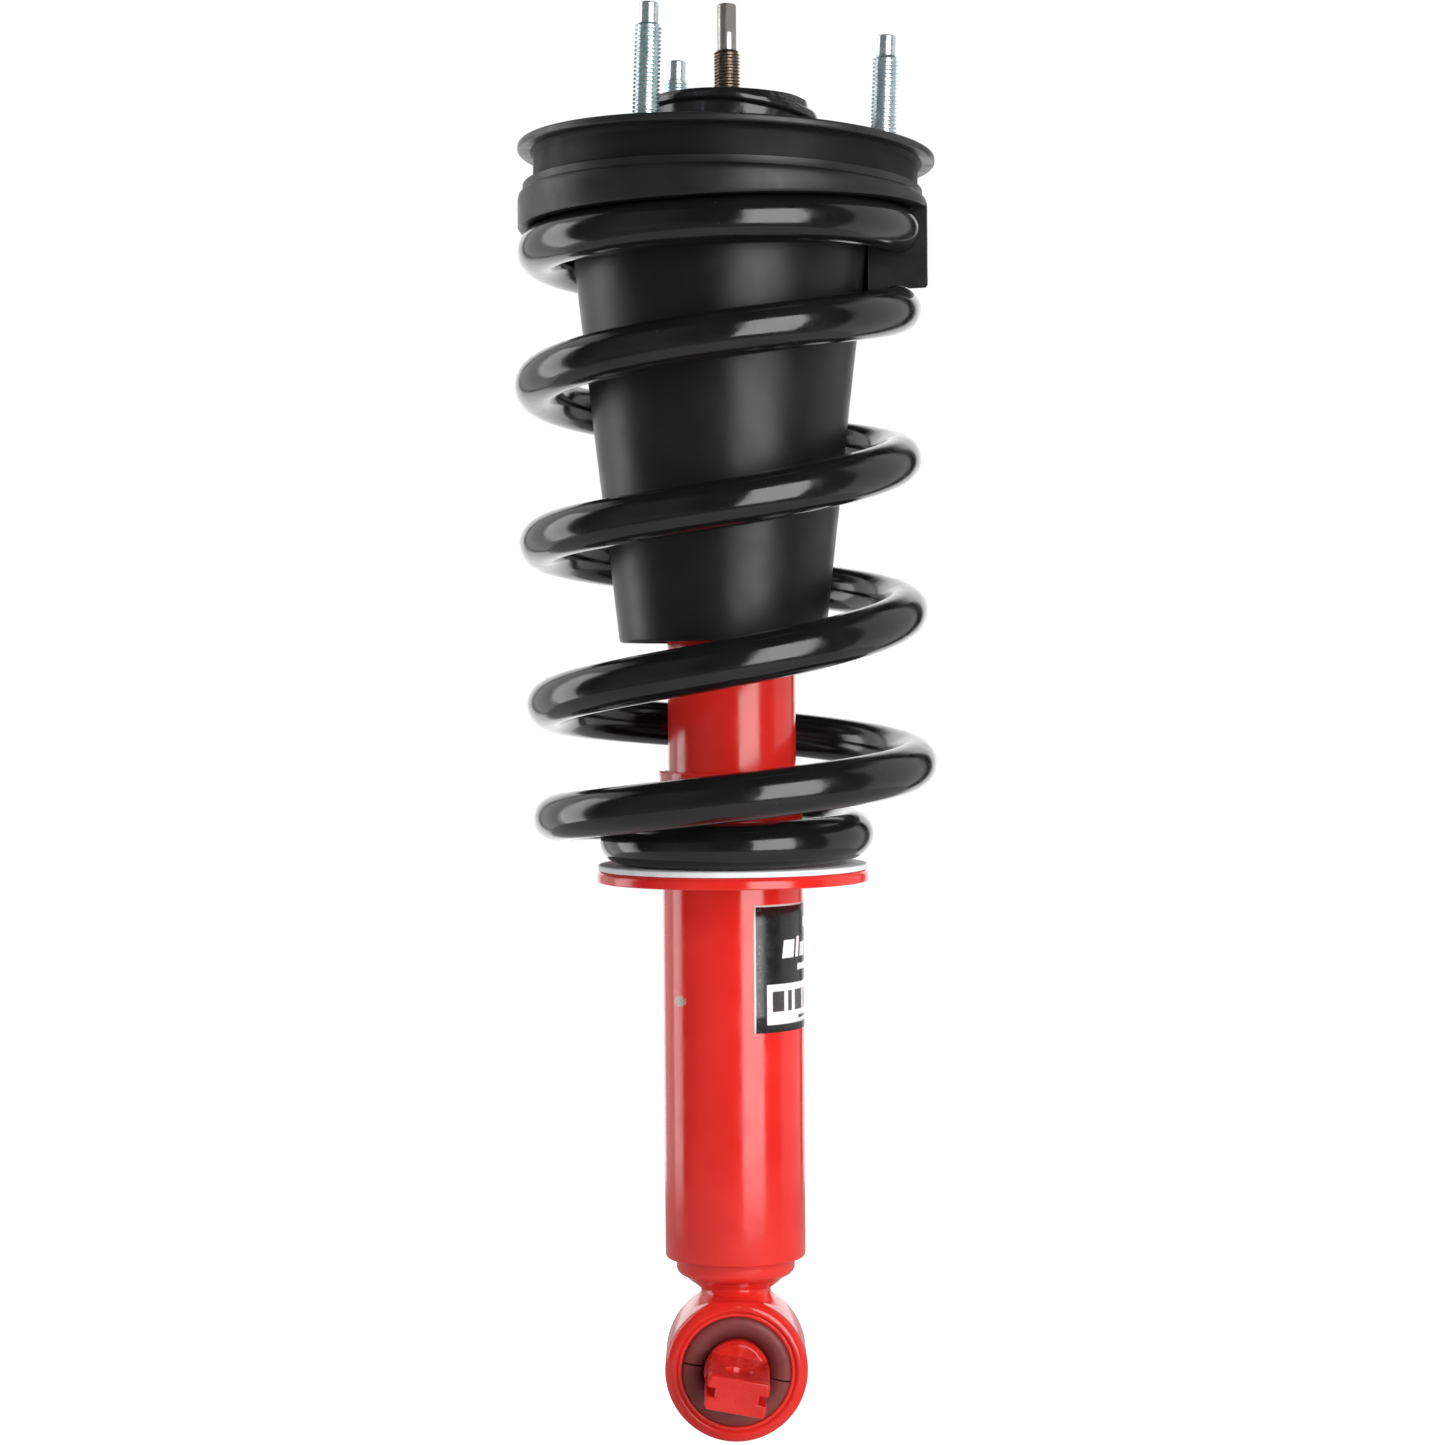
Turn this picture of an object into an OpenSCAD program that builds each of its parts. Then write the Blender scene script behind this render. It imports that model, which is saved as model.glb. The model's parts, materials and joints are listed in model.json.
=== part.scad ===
// Coil-over strut assembly: a twin-tube damper inside a coil spring, with a three-stud rubber
// top mount and a bar-pin lower eye. The origin is the centre of the lower eye, +Z runs up the
// strut and the bar pin lies along Y. All sizes are in millimetres and degrees.

/* [Lower eye and bar pin] */
// Outer diameter of the eye
eye_d = 54.6; // [52:0.2:66]
// Length of the eye along the pin
eye_len = 38; // [30:1:46]
// Wall of the eye
eye_wall = 4.9; // [3.5:0.1:6]
// Wall of the bushing's steel shell
shell_wall = 1.5; // [1:0.1:2.5]
// Length that the rubber stands out past each end of the eye
rubber_proud = 1; // [0:0.5:3]
// Diameter of the bar pin's barrel
pin_d = 25; // [20:0.5:28]
// Length of the barrel between its shoulders
barrel_len = 44; // [40:1:52]
// Overall length of the bar pin
pin_len = 112; // [104:1:132]
// Width of the pin's flat tongues
tongue_w = 22.8; // [18:0.2:24]
// Thickness of the tongues
tongue_t = 13; // [9:0.5:16]
// Diameter of the bolt hole in each tongue
pin_hole_d = 10.5; // [8:0.5:12]
// Distance between the two bolt holes
pin_hole_gap = 86; // [78:1:96]
// Depth of the groove in each side of the tongues
groove_depth = 3.3; // [1:0.1:4]
// Height of the groove in each side of the tongues
groove_h = 3.7; // [2:0.1:6]
// Turn of the bar pin about Y as it is stored
pin_turn = 10.5; // [-20:0.5:20]

/* [Damper] */
// Length of the outer tube
tube_len = 259; // [225:1:280]
// Outer diameter of the outer tube
tube_d = 49.4; // [46:0.2:56]
// Wall of the outer tube
tube_wall = 1.7; // [1.2:0.1:2.4]
// Outer diameter of the pressure tube
pressure_d = 38; // [35:0.5:40]
// Wall of the pressure tube
pressure_wall = 1.5; // [1:0.1:2]
// Diameter of the piston rod
rod_d = 22; // [18:0.5:25]
// Depth of the base cup inside the tube
cup_depth = 11; // [8:1:16]
// Thickness of the base cup's floor
cup_floor = 4; // [3:0.5:6]
// Height of the base cup that shows under the tube
cup_show = 8; // [5:0.5:12]
// Height of the weld neck between the eye and the base cup
neck_h = 5.7; // [3:0.1:9]
// Diameter of the weld neck
neck_d = 24.6; // [20:0.2:32]

/* [Spring seat] */
// Length of the rolled sleeve on the tube
sleeve_len = 187; // [160:1:200]
// Wall of the rolled sleeve
sleeve_wall = 2.4; // [1.5:0.1:3]
// Open seam of the rolled sleeve
seam_w = 2; // [1:0.5:5]
// Height of the seat disc's top above the sleeve's lower end
seat_up = 149; // [120:1:152]
// Diameter of the seat disc
seat_d = 105; // [100:1:120]
// Height of the disc's rolled edge
seat_edge = 4.5; // [4:0.1:8]
// Sheet thickness of the seat disc
seat_t = 3; // [2:0.1:4]
// Thickness of the nylon ring
ring_t = 2.2; // [1.5:0.1:4]
// Height of the nylon ring's inner collar
ring_collar_h = 5; // [3:0.5:8]
// Wall of the nylon ring's inner collar
ring_collar_t = 5.4; // [3:0.1:7]

/* [Coil spring] */
// Diameter of the wire
wire_d = 17.8; // [14:0.1:19]
// Mean diameter of the coils
coil_d = 138.4; // [134:0.2:142]
// Number of turns in all
turns = 5.45; // [4.45:1:6.45]
// Closed turns at the bottom
closed_turns = 1.02; // [0.9:0.02:1.2]
// Turns that lie against the isolator
top_turns = 0.66; // [0.5:0.02:0.8]
// Rise per turn of the turns against the isolator
top_pitch = 15; // [5:1:20]
// Place of the wire's lower end, turned from +X
tail_angle = -172; // [-180:1:-120]
// Lean of the spring's axis towards -X
spring_lean = 1.2; // [0:0.1:1.5]
// Shift of the small coil along X
spring_shift = 1.5; // [-2:0.1:2]

/* [Top mount] */
// Height of the plate's top face above the eye's centre
plate_z = 466.6; // [450:0.2:500]
// Diameter of the plate
plate_d = 161; // [150:1:180]
// Thickness of the plate
plate_t = 3; // [2:0.1:4]
// Tilt of the mount about Y, +X side down
mount_tilt = 2.2; // [0:0.1:3]
// Shift of the mount along X
mount_shift = -0.6; // [-1:0.1:1]
// Diameter of the cup under the plate
cup_d = 148.4; // [140:0.2:156]
// Height of the cup under the plate
cup_h = 12.4; // [8:0.1:14]
// Diameter of the stud circle
stud_pcd = 115; // [106:0.5:124]
// Shift of the stud circle along X from the plate's centre
stud_shift = 3; // [0:0.1:4]
// Thread diameter of the studs
stud_d = 10; // [8:1:12]
// Height of the studs above the plate
stud_h = 46; // [30:1:60]
// Length of the studs' smooth tips
stud_tip_h = 7.8; // [4:0.2:10]
// Place of the first stud, turned from +X
stud_angle = -5; // [-30:1:30]
// Diameter of the bush where it passes the plate
bush_d = 62.8; // [58:0.2:70]
// Shift of the bush's neck along X from the plate's centre
neck_shift = 2; // [0:0.1:2]
// Width of the bush's drooping lip
lip_w = 1.9; // [1:0.1:4]
// Height of the bush above the plate
bush_h = 19.4; // [12:0.2:24]
// Outer diameter of the isolator
isolator_d = 158; // [156:0.5:168]
// Inner diameter of the isolator
isolator_bore = 115; // [113:0.5:116]
// Rubber between the cup and the wire's upper end
isolator_web = 8.7; // [6:0.1:14]

/* [Rod end] */
// Height of the rod's tip above the plate
rod_up = 57.4; // [50:0.2:80]
// Thread diameter of the rod's upper end
rod_thread_d = 10; // [8:0.5:14]
// Length of the smooth tip
rod_smooth_h = 18; // [10:0.5:24]
// Diameter of the smooth tip
rod_smooth_d = 7.3; // [5:0.1:9]
// Length of the flat milled on the tip
rod_flat_h = 11.3; // [8:0.1:14]
// Depth of that flat
rod_flat_t = 0.9; // [0.5:0.1:1.5]
// Place of that flat, turned from +X
rod_flat_angle = -50; // [-90:5:90]
// Width of the nut across its flats
nut_af = 17; // [13:0.5:19]
// Height of the nut
nut_h = 8.4; // [6:0.2:12]
// Diameter of the centre sleeve in the bush
core_d = 30; // [24:1:36]

/* [Boot and bump stop] */
// Gap between the boot and the isolator around it
boot_gap = 1; // [0.5:0.1:3]
// Outer diameter of the boot's lower end
boot_low_d = 80; // [74:0.5:90]
// Length of the boot
boot_len = 173.6; // [140:0.2:180]
// Wall of the boot
boot_wall = 2; // [1.5:0.1:3]
// Largest diameter of the bump stop
bump_d = 44; // [38:1:48]
// Length of the bump stop
bump_len = 35.9; // [24:0.1:48]

/* [Hidden] */

$fn = 64;
FIT = 0.05;          // radial clearance of a running fit
GAP = 0.3;           // least gap between pieces that move apart
BIG = 400;           // larger than the strut is wide
PAINT = "firebrick";
STEEL = "silver";
BLACK = "#1b1b1c";
RUBBER = "#262425";

// Damper
tube_r = tube_d / 2;
tube_bore = tube_r - tube_wall;
cup_z = eye_d / 2 + neck_h;
tube_z = cup_z + cup_show;
tube_top = tube_z + tube_len;
pressure_r = pressure_d / 2;
pressure_bore = pressure_r - pressure_wall;
rod_r = rod_d / 2;
cap_t = 2;                                   // thickness of the cap on the tube
cap_top = tube_top + cap_t;
guide_h = 14;                                // height of the rod guide
seal_h = 6;                                  // height of the oil seal
guide_z = tube_top - guide_h - seal_h;
rebound_h = 16;                              // height of the rebound stop
piston_h = 16;                               // height of the piston
shim_t = 1.2;                                // thickness of the shim stack
piston_nut_h = 8;                            // height of the piston's nut
rebound_z = guide_z - GAP - rebound_h;
piston_z = rebound_z - piston_h - shim_t;
rod_low_z = piston_z - shim_t - piston_nut_h - 2;
spigot_r = 6;                                // radius of the rod's lower spigot
piston_play = 0.4;                           // play between the piston and the pressure tube
band_groove = 1.5;                           // depth of the piston band's groove
bush_wall = 1.5;                             // wall of the guide bush
foot_z = cup_z + cup_floor;
foot_h = 14;                                 // height of the foot valve

// Spring seat
ring_play = 0.6;                             // play between the nylon ring and the sleeve
tail_play = 2;                               // play between the small coil and the ring's collar
sleeve_r = tube_r + sleeve_wall;
seat_z = tube_z + seat_up;
ring_top = seat_z + ring_t;
collar_r = sleeve_r + ring_play + ring_collar_t;

// Top mount
rod_tip_z = plate_z + rod_up;
bush_r = bush_d / 2;
core_z = plate_z - 22.6;                     // lower end of the centre sleeve
core_h = 30.6;                               // length of the centre sleeve
core_r = core_d / 2;
washer_t = 3;                                // thickness of both washers
washer_d = core_d + 4;
shoulder_z = core_z - washer_t;
retainer_floor = 2.5;                        // sheet thickness of the bush retainer
retainer_z = shoulder_z - GAP - retainer_floor - 3;
retainer_r = bush_r + 4.4;
under_mount = plate_t + cup_h;               // from the plate's top to the cup's underside
sheet = 2.5;                                 // sheet thickness of the pressed cup
bush_drop = 6;                               // drop of the bush's flange below the pressed cup
knurl = 0.4;                                 // height of the studs' knurl, pressed into the plate

// Bump stop, whose lower end sets the damper's travel
bump_seat = 2;                               // depth of the bump stop's seat below the retainer
bump_z = retainer_z - bump_seat - bump_len;
bump_bore = rod_r + 1;
stroke = bump_z - GAP - cap_top;

// Spring: t counts the turns up from the wire's lower end
wire_r = wire_d / 2;
coil_r = coil_d / 2;
tail_r = collar_r + tail_play + wire_r;
wire_z0 = ring_top + GAP + wire_r;
wire_z1 = plate_z - under_mount - isolator_web - wire_r;
pitch = (wire_z1 - wire_z0 - top_pitch * top_turns) / (turns - closed_turns - top_turns);
low_blend = 0.3;                             // half the stretch over which the pitch starts
top_blend = 0.2;                             // half the stretch over which the pitch ends
tail_turns = 0.47;                           // turns of the small coil before it opens out
open_turns = 0.55;                           // turns over which it opens out
wire_sides = 12;
steps_per_turn = 28;
settle_start = 0.228;                        // turns at the wire's first pass of the front
// How far the wire stands off an even helix at each quarter turn, upwards and along X
settle_z = [0, 2.2, 5.6, 6.2, 6.4, 1.6, -0.3, -3.2, -3.6, 1.4, 3.6, 0, -4.8, 0.8, 4.5, 1.8, -2.4,
    -1, 4, 3.2, -0.6, -0.2];
settle_x = [0, 0, 0, 0, 0, 0, -0.6, -1.2, -1.5, -1.9, -2.2, -2.4, -2.5, -2.6, -2.6, -2.6, -2.2, -1.2,
    -0.6, 0, 0, 0];
end_angle = tail_angle + 360 * turns;
groove_gap = 0.6;                            // gap between the wire and the isolator's groove

function smooth(u) = let (c = min(max(u, 0), 1)) c * c * (3 - 2 * c);
function ramp(t, at, w) = t < at - w ? 0 : t > at + w ? t - at : pow(t - at + w, 2) / (4 * w);
function unit(v) = v / norm(v);
function axis_x(z) = spring_shift - (z - wire_z0) * tan(spring_lean);
// A smooth line through a list of values a quarter turn apart
function settled(values, t) = let (
        last = len(values) - 1,
        u = min(max((t - settle_start) * 4, 0), last),
        i = min(floor(u), last - 1),
        f = u - i,
        a = values[max(i - 1, 0)],
        b = values[i],
        c = values[i + 1],
        d = values[min(i + 2, last)])
    b + f * (c - a + f * (2 * a - 5 * b + 4 * c - d + f * (3 * (b - c) + d - a))) / 2;
function helix_r(t) = tail_r + (coil_r - tail_r) * smooth((t - tail_turns) / open_turns);
function helix_z(t) = wire_z0 + pitch * ramp(t, closed_turns, low_blend)
    - (pitch - top_pitch) * ramp(t, turns - top_turns, top_blend)
    + helix_r(t) * cos(tail_angle + 360 * t) * tan(spring_lean) * smooth(t - 0.5)
    + settled(settle_z, t);
function helix(t) = let (a = tail_angle + 360 * t, r = helix_r(t), z = helix_z(t))
    [axis_x(z) + r * cos(a) + settled(settle_x, t), r * sin(a), z];

isolator_x = axis_x(wire_z1);

// One ring of points round the wire, square to it
function wire_ring(t) = let (
        a = tail_angle + 360 * t,
        along = unit(helix(t + 0.001) - helix(t - 0.001)),
        out = [cos(a), sin(a), 0],
        side = unit(out - along * (out * along)),
        up = cross(along, side))
    [for (i = [0:wire_sides - 1]) let (p = 360 * i / wire_sides)
        helix(t) + wire_r * (cos(p) * side + sin(p) * up)];

// Skin over rings of equally many points, with flat ends or joined into a loop
module skin(rings, looped = false) {
    n = len(rings[0]);
    last = len(rings) - 1;
    sides = [for (i = [0:looped ? last : last - 1], j = [0:n - 1])
        let (k = (i + 1) % (last + 1), m = (j + 1) % n)
        [i * n + j, k * n + j, k * n + m, i * n + m]];
    ends = looped ? [] : [[for (j = [0:n - 1]) j], [for (j = [0:n - 1]) last * n + n - 1 - j]];
    polyhedron(points = [for (ring = rings, p = ring) p], faces = concat(sides, ends));
}

module tube(z, h, outer, inner) {
    translate([0, 0, z]) difference() {
        cylinder(h = h, r = outer);
        translate([0, 0, -1]) cylinder(h = h + 2, r = inner);
    }
}

// Places its children in the tilted frame of the top mount, with z = 0 on the plate's top face
module on_mount() {
    translate([mount_shift, 0, plate_z]) rotate([0, mount_tilt, 0]) children();
}

// The space under the pressed cup
module below_mount() {
    on_mount() translate([-BIG / 2, -BIG / 2, -under_mount - BIG]) cube(BIG);
}

module along_y(len) {
    rotate([90, 0, 0]) translate([0, 0, -len / 2]) children();
}

// ---- Lower eye and bar pin

module bar_pin() {
    pin_r = pin_d / 2;
    color("#b5332a") rotate([0, pin_turn, 0]) difference() {
        union() {
            along_y(barrel_len) cylinder(h = barrel_len, r = pin_r);
            intersection() {
                along_y(pin_len) cylinder(h = pin_len, r = pin_r);
                cube([tongue_w, pin_len, tongue_t], center = true);
            }
        }
        for (s = [-1, 1]) {
            translate([0, s * pin_hole_gap / 2, -pin_d]) cylinder(h = 2 * pin_d, r = pin_hole_d / 2);
            for (side = [-1, 1]) {
                translate([side * tongue_w / 2, s * (barrel_len + pin_len) / 4 + s * 0.5, 0])
                    cube([2 * groove_depth, (pin_len - barrel_len) / 2 + 1, groove_h], center = true);
            }
        }
    }
}

module lower_eye() {
    eye_r = eye_d / 2;
    neck_r = neck_d / 2;
    color(PAINT) difference() {
        union() {
            along_y(eye_len) cylinder(h = eye_len, r = eye_r);
            rotate_extrude() polygon([
                [0, 0], [neck_r + 6, eye_r - 9], [neck_r + 2, eye_r - 3], [neck_r, eye_r + 1],
                [neck_r, eye_r + neck_h / 2], [neck_r + 3, cup_z], [0, cup_z]
            ]);
        }
        along_y(eye_len + 2) cylinder(h = eye_len + 2, r = eye_r - eye_wall);
    }
}

module bushing_shell() {
    shell_r = eye_d / 2 - eye_wall;
    color(PAINT) along_y(eye_len) tube(0, eye_len, shell_r, shell_r - shell_wall);
}

module eye_bushing() {
    rubber_r = eye_d / 2 - eye_wall - shell_wall;
    rubber_len = eye_len + 2 * rubber_proud;
    slit = 3;
    color("#6e2a25") rotate([0, pin_turn, 0]) difference() {
        along_y(rubber_len) tube(0, rubber_len, rubber_r, pin_d / 2 + FIT);
        for (s = [-1, 1], side = [-1, 1]) {
            translate([side * (rubber_r + pin_d / 2) / 2, s * rubber_len / 2, 0])
                cube([rubber_r - pin_d / 2 - 2, 2 * slit, 1], center = true);
        }
    }
}

// ---- Damper tube

module base_cup() {
    cup_wall = 3;
    top = tube_z + cup_depth;
    color(PAINT) difference() {
        rotate_extrude() polygon([
            [0, cup_z], [tube_bore - 6, cup_z], [tube_bore - 2, cup_z + 1], [tube_bore - 0.6, cup_z + 2.4],
            [tube_bore, cup_z + 4.4], [tube_bore, top], [0, top]
        ]);
        translate([0, 0, cup_z + cup_floor]) cylinder(h = top, r = tube_bore - cup_wall);
    }
}

module outer_tube() {
    color(PAINT) tube(tube_z, tube_len, tube_r, tube_bore);
}

module tube_cap() {
    skirt = 8;
    color(BLACK) rotate_extrude() polygon([
        [rod_r + GAP, tube_top], [rod_r + GAP, cap_top], [tube_r + cap_t - 1, cap_top],
        [tube_r + cap_t, cap_top - 1], [tube_r + cap_t, tube_top - skirt],
        [tube_r, tube_top - skirt], [tube_r, tube_top]
    ]);
}

module seat_sleeve() {
    color(PAINT) difference() {
        tube(tube_z, sleeve_len, sleeve_r, tube_r);
        translate([-2 * sleeve_r, -seam_w / 2, tube_z - 1]) cube([2 * sleeve_r, seam_w, sleeve_len + 2]);
    }
}

module lower_spring_seat() {
    rim = seat_d / 2;
    round_r = seat_t / 2;
    color(PAINT) rotate_extrude() {
        translate([sleeve_r, seat_z - seat_t]) square([rim - sleeve_r - round_r, seat_t]);
        translate([rim - round_r, seat_z - round_r]) circle(r = round_r);
        translate([rim - seat_t, seat_z - seat_edge]) square([seat_t, seat_edge - round_r]);
        translate([sleeve_r, seat_z - 2 * seat_t]) square([seat_t, 2 * seat_t]);
    }
}

module seat_ring() {
    color("whitesmoke") {
        tube(seat_z, ring_t, seat_d / 2 - ring_play, sleeve_r + ring_play);
        tube(ring_top, ring_collar_h, collar_r, sleeve_r + ring_play);
    }
}

module tube_label() {
    label_z = tube_z + 85;
    label_h = 51;
    label_t = 0.2;
    label_angle = -74;
    label_wrap = 110;
    color("#202020") translate([0, 0, label_z]) rotate([0, 0, label_angle])
        rotate_extrude(angle = label_wrap) translate([sleeve_r, 0]) square([label_t, label_h]);
}

// ---- Inside the damper

module pressure_tube() {
    color(STEEL) tube(foot_z + foot_h / 2, guide_z - foot_z - foot_h / 2, pressure_r, pressure_bore);
}

module foot_valve() {
    color("goldenrod") difference() {
        union() {
            translate([0, 0, foot_z]) cylinder(h = foot_h / 2, r = pressure_r);
            translate([0, 0, foot_z]) cylinder(h = foot_h, r = pressure_bore);
        }
        for (a = [0:60:300]) rotate([0, 0, a]) translate([pressure_bore - 6, 0, foot_z - 1])
            cylinder(h = foot_h + 2, r = 1.5);
    }
}

module rod_guide() {
    color(STEEL) tube(guide_z, guide_h, tube_bore, rod_r + FIT + bush_wall);
}

module guide_bush() {
    color("darkgoldenrod") tube(guide_z, guide_h, rod_r + FIT + bush_wall, rod_r + FIT);
}

module rod_seal() {
    color(RUBBER) tube(guide_z + guide_h, seal_h, tube_bore, rod_r + FIT);
}

module piston_rod() {
    stem_r = rod_thread_d / 2;
    smooth_z = rod_tip_z - rod_smooth_h;
    color(STEEL) difference() {
        union() {
            translate([0, 0, piston_z + piston_h + shim_t])
                cylinder(h = shoulder_z - piston_z - piston_h - shim_t, r = rod_r);
            translate([0, 0, rod_low_z]) cylinder(h = shoulder_z - rod_low_z, r = spigot_r);
            translate([0, 0, shoulder_z]) cylinder(h = smooth_z - shoulder_z, r = stem_r);
            translate([0, 0, smooth_z]) cylinder(h = rod_smooth_h - 1, r = rod_smooth_d / 2);
            translate([0, 0, rod_tip_z - 1])
                cylinder(h = 1, r1 = rod_smooth_d / 2, r2 = rod_smooth_d / 2 - 1);
        }
        rotate([0, 0, rod_flat_angle])
            translate([rod_smooth_d / 2 - rod_flat_t, -stem_r, rod_tip_z - rod_flat_h])
                cube([stem_r, 2 * stem_r, rod_flat_h + 1]);
    }
}

module piston() {
    port_r = 1.6;
    piston_r = pressure_bore - piston_play;
    color(STEEL) difference() {
        tube(piston_z, piston_h, piston_r, spigot_r);
        tube(piston_z + piston_h / 4, piston_h / 2, pressure_r, piston_r - band_groove);
        for (a = [0:60:300]) rotate([0, 0, a]) translate([(pressure_bore + spigot_r) / 2, 0, piston_z - 1])
            cylinder(h = piston_h + 2, r = port_r);
    }
}

module piston_band() {
    color("teal") tube(piston_z + piston_h / 4, piston_h / 2, pressure_bore - FIT,
        pressure_bore - piston_play - band_groove);
}

module piston_shims() {
    color(STEEL) {
        tube(piston_z - shim_t, shim_t, pressure_bore - 3, spigot_r);
        tube(piston_z + piston_h, shim_t, pressure_bore - 3, spigot_r);
    }
}

module piston_nut() {
    color(STEEL) translate([0, 0, piston_z - shim_t - piston_nut_h]) difference() {
        cylinder(h = piston_nut_h, r = spigot_r + 4, $fn = 6);
        translate([0, 0, -1]) cylinder(h = piston_nut_h + 2, r = spigot_r);
    }
}

module rebound_stop() {
    color("dimgray") tube(rebound_z, rebound_h, pressure_bore - 1.5, rod_r);
}

// ---- Rod end

module lower_washer() {
    color(STEEL) tube(shoulder_z, washer_t, washer_d / 2, rod_thread_d / 2);
}

module centre_sleeve() {
    color(STEEL) tube(core_z, core_h, core_r, rod_thread_d / 2);
}

module upper_washer() {
    color(STEEL) tube(core_z + core_h, washer_t, washer_d / 2, rod_thread_d / 2);
}

module rod_nut() {
    color(STEEL) translate([0, 0, core_z + core_h + washer_t]) difference() {
        cylinder(h = nut_h, r = nut_af / 2 / cos(30), $fn = 6);
        translate([0, 0, -1]) cylinder(h = nut_h + 2, r = rod_thread_d / 2);
    }
}

// ---- Top mount

module mount_plate() {
    round_r = plate_t / 2;
    color(BLACK) on_mount() difference() {
        rotate_extrude() {
            translate([0, -plate_t]) square([plate_d / 2 - round_r, plate_t]);
            translate([plate_d / 2 - round_r, -round_r]) circle(r = round_r);
        }
        translate([neck_shift, 0, -plate_t - 1]) cylinder(h = plate_t + 2, r = bush_r);
        translate([stud_shift, 0, 0]) for (i = [0:2]) rotate([0, 0, stud_angle + 120 * i])
            translate([stud_pcd / 2, 0, -plate_t - 1]) cylinder(h = plate_t + 2, r = stud_d / 2 + knurl);
    }
}

module upper_spring_seat() {
    wall_r = cup_d / 2;
    color(BLACK) on_mount() {
        tube(-under_mount, cup_h, wall_r, wall_r - sheet);
        tube(-under_mount, sheet, wall_r, retainer_r);
    }
}

module mount_studs() {
    head_t = 3;
    head_r = 8;
    knurl_r = stud_d / 2 + knurl;
    bevel = 1.5;
    thread_h = stud_h - stud_tip_h;
    color("lightsteelblue") on_mount() for (i = [0:2])
        translate([stud_shift, 0, 0]) rotate([0, 0, stud_angle + 120 * i]) translate([stud_pcd / 2, 0, 0]) {
            translate([0, 0, -plate_t - head_t]) cylinder(h = head_t, r = head_r);
            translate([0, 0, -plate_t]) cylinder(h = plate_t, r = knurl_r);
            cylinder(h = thread_h - bevel, r = stud_d / 2);
            translate([0, 0, thread_h - bevel])
                cylinder(h = bevel, r1 = stud_d / 2, r2 = stud_d / 2 - bevel);
            translate([0, 0, thread_h]) cylinder(h = stud_tip_h, r = stud_d / 2 - bevel);
        }
}

module mount_bush() {
    lip_r = bush_r + lip_w;
    flange_r = retainer_r - sheet;
    foot = under_mount + bush_drop;
    pocket_r = washer_d / 2 + 3;
    color(RUBBER) difference() {
        intersection() {
            on_mount() {
                translate([0, 0, -foot]) cylinder(h = foot - plate_t, r = flange_r);
                translate([neck_shift, 0, 0]) rotate_extrude() polygon([
                    [0, -plate_t - 1], [bush_r, -plate_t - 1], [bush_r, bush_h - 9],
                    [lip_r, bush_h - 7], [lip_r, bush_h - 3], [lip_r - 3, bush_h], [0, bush_h]
                ]);
            }
            translate([-BIG / 2, -BIG / 2, core_z + GAP]) cube(BIG);
        }
        translate([0, 0, shoulder_z]) cylinder(h = 2 * core_h, r = core_r + FIT);
        translate([0, 0, core_z + core_h - GAP]) cylinder(h = 2 * core_h, r = pocket_r);
    }
}

module bush_retainer() {
    pan_r = retainer_r - 1.6;
    color(BLACK) difference() {
        union() {
            intersection() {
                translate([0, 0, retainer_z]) cylinder(h = BIG, r = pan_r);
                below_mount();
            }
            on_mount() translate([0, 0, -under_mount]) cylinder(h = cup_h, r = retainer_r);
        }
        translate([0, 0, retainer_z + retainer_floor]) cylinder(h = BIG, r = pan_r - retainer_floor);
        on_mount() translate([0, 0, -under_mount - bush_drop]) cylinder(h = BIG, r = retainer_r - sheet);
        translate([0, 0, retainer_z - 1]) cylinder(h = BIG, r = washer_d / 2 - 3);
    }
}

module bump_stop_cup() {
    cup_r = bump_d / 2 + bump_seat;
    drop = 12;
    color(BLACK) difference() {
        translate([0, 0, retainer_z - drop]) cylinder(h = drop, r = cup_r);
        translate([0, 0, retainer_z - drop - 1]) cylinder(h = drop + 1 - bump_seat, r = bump_d / 2);
        translate([0, 0, retainer_z - drop - 1]) cylinder(h = drop + 2, r = bump_bore);
    }
}

module bump_stop() {
    waist = 4;
    bump_r = bump_d / 2;
    top_z = retainer_z - bump_seat;
    h = bump_len;
    color("khaki") difference() {
        rotate_extrude() polygon([
            [0, bump_z], [bump_r - 6, bump_z], [bump_r - 2, bump_z + h * 0.15],
            [bump_r - 1, bump_z + h * 0.3], [bump_r - waist, bump_z + h * 0.42],
            [bump_r, bump_z + h * 0.55], [bump_r, top_z], [0, top_z]
        ]);
        translate([0, 0, bump_z - 1]) cylinder(h = h + 2, r = bump_bore);
    }
}

// One section of the isolator, whose underside follows the wire one turn before its end
function isolator_ring(a) = let (
        t = turns - 1 + (a - end_angle) / 360,
        cx = isolator_x,
        centre = helix(t),
        rw = norm([centre.x - cx, centre.y]),
        groove = wire_r + groove_gap,
        out = isolator_d / 2,
        bore = isolator_bore / 2,
        lip = groove * sin(60),
        lip_x = groove * cos(60),
        rim_shift = 1.2,
        step_z = 1.3 * cos(a) - 2.1)
    [for (p = [
            [out - 2.2, 0, 0], [out - 1.8, 0, step_z], [out - 1, 0, step_z - 0.4],
            [out, 0, step_z - 2.6], [out, 1, lip], [rw + lip_x, 1, lip],
            [rw + groove * cos(75), 1, groove * sin(75)], [rw, 1, groove],
            [rw - groove * cos(75), 1, groove * sin(75)], [rw - lip_x, 1, lip], [bore, 1, lip],
            [bore, 0, 0]])
        let (x = cx + p[0] * cos(a) + (p[0] > out - 3 ? rim_shift : 0),
            seat = plate_z - under_mount / cos(mount_tilt) - (x - mount_shift) * tan(mount_tilt))
        [x, p[0] * sin(a), (p[1] == 1 ? centre.z : seat) + p[2]]];

module upper_spring_isolator() {
    stop_gap = 1.2;
    sections = 60;
    color(RUBBER) skin([for (i = [0:sections])
        isolator_ring(end_angle + stop_gap + (359.2 * i) / sections)], looped = true);
}

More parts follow.
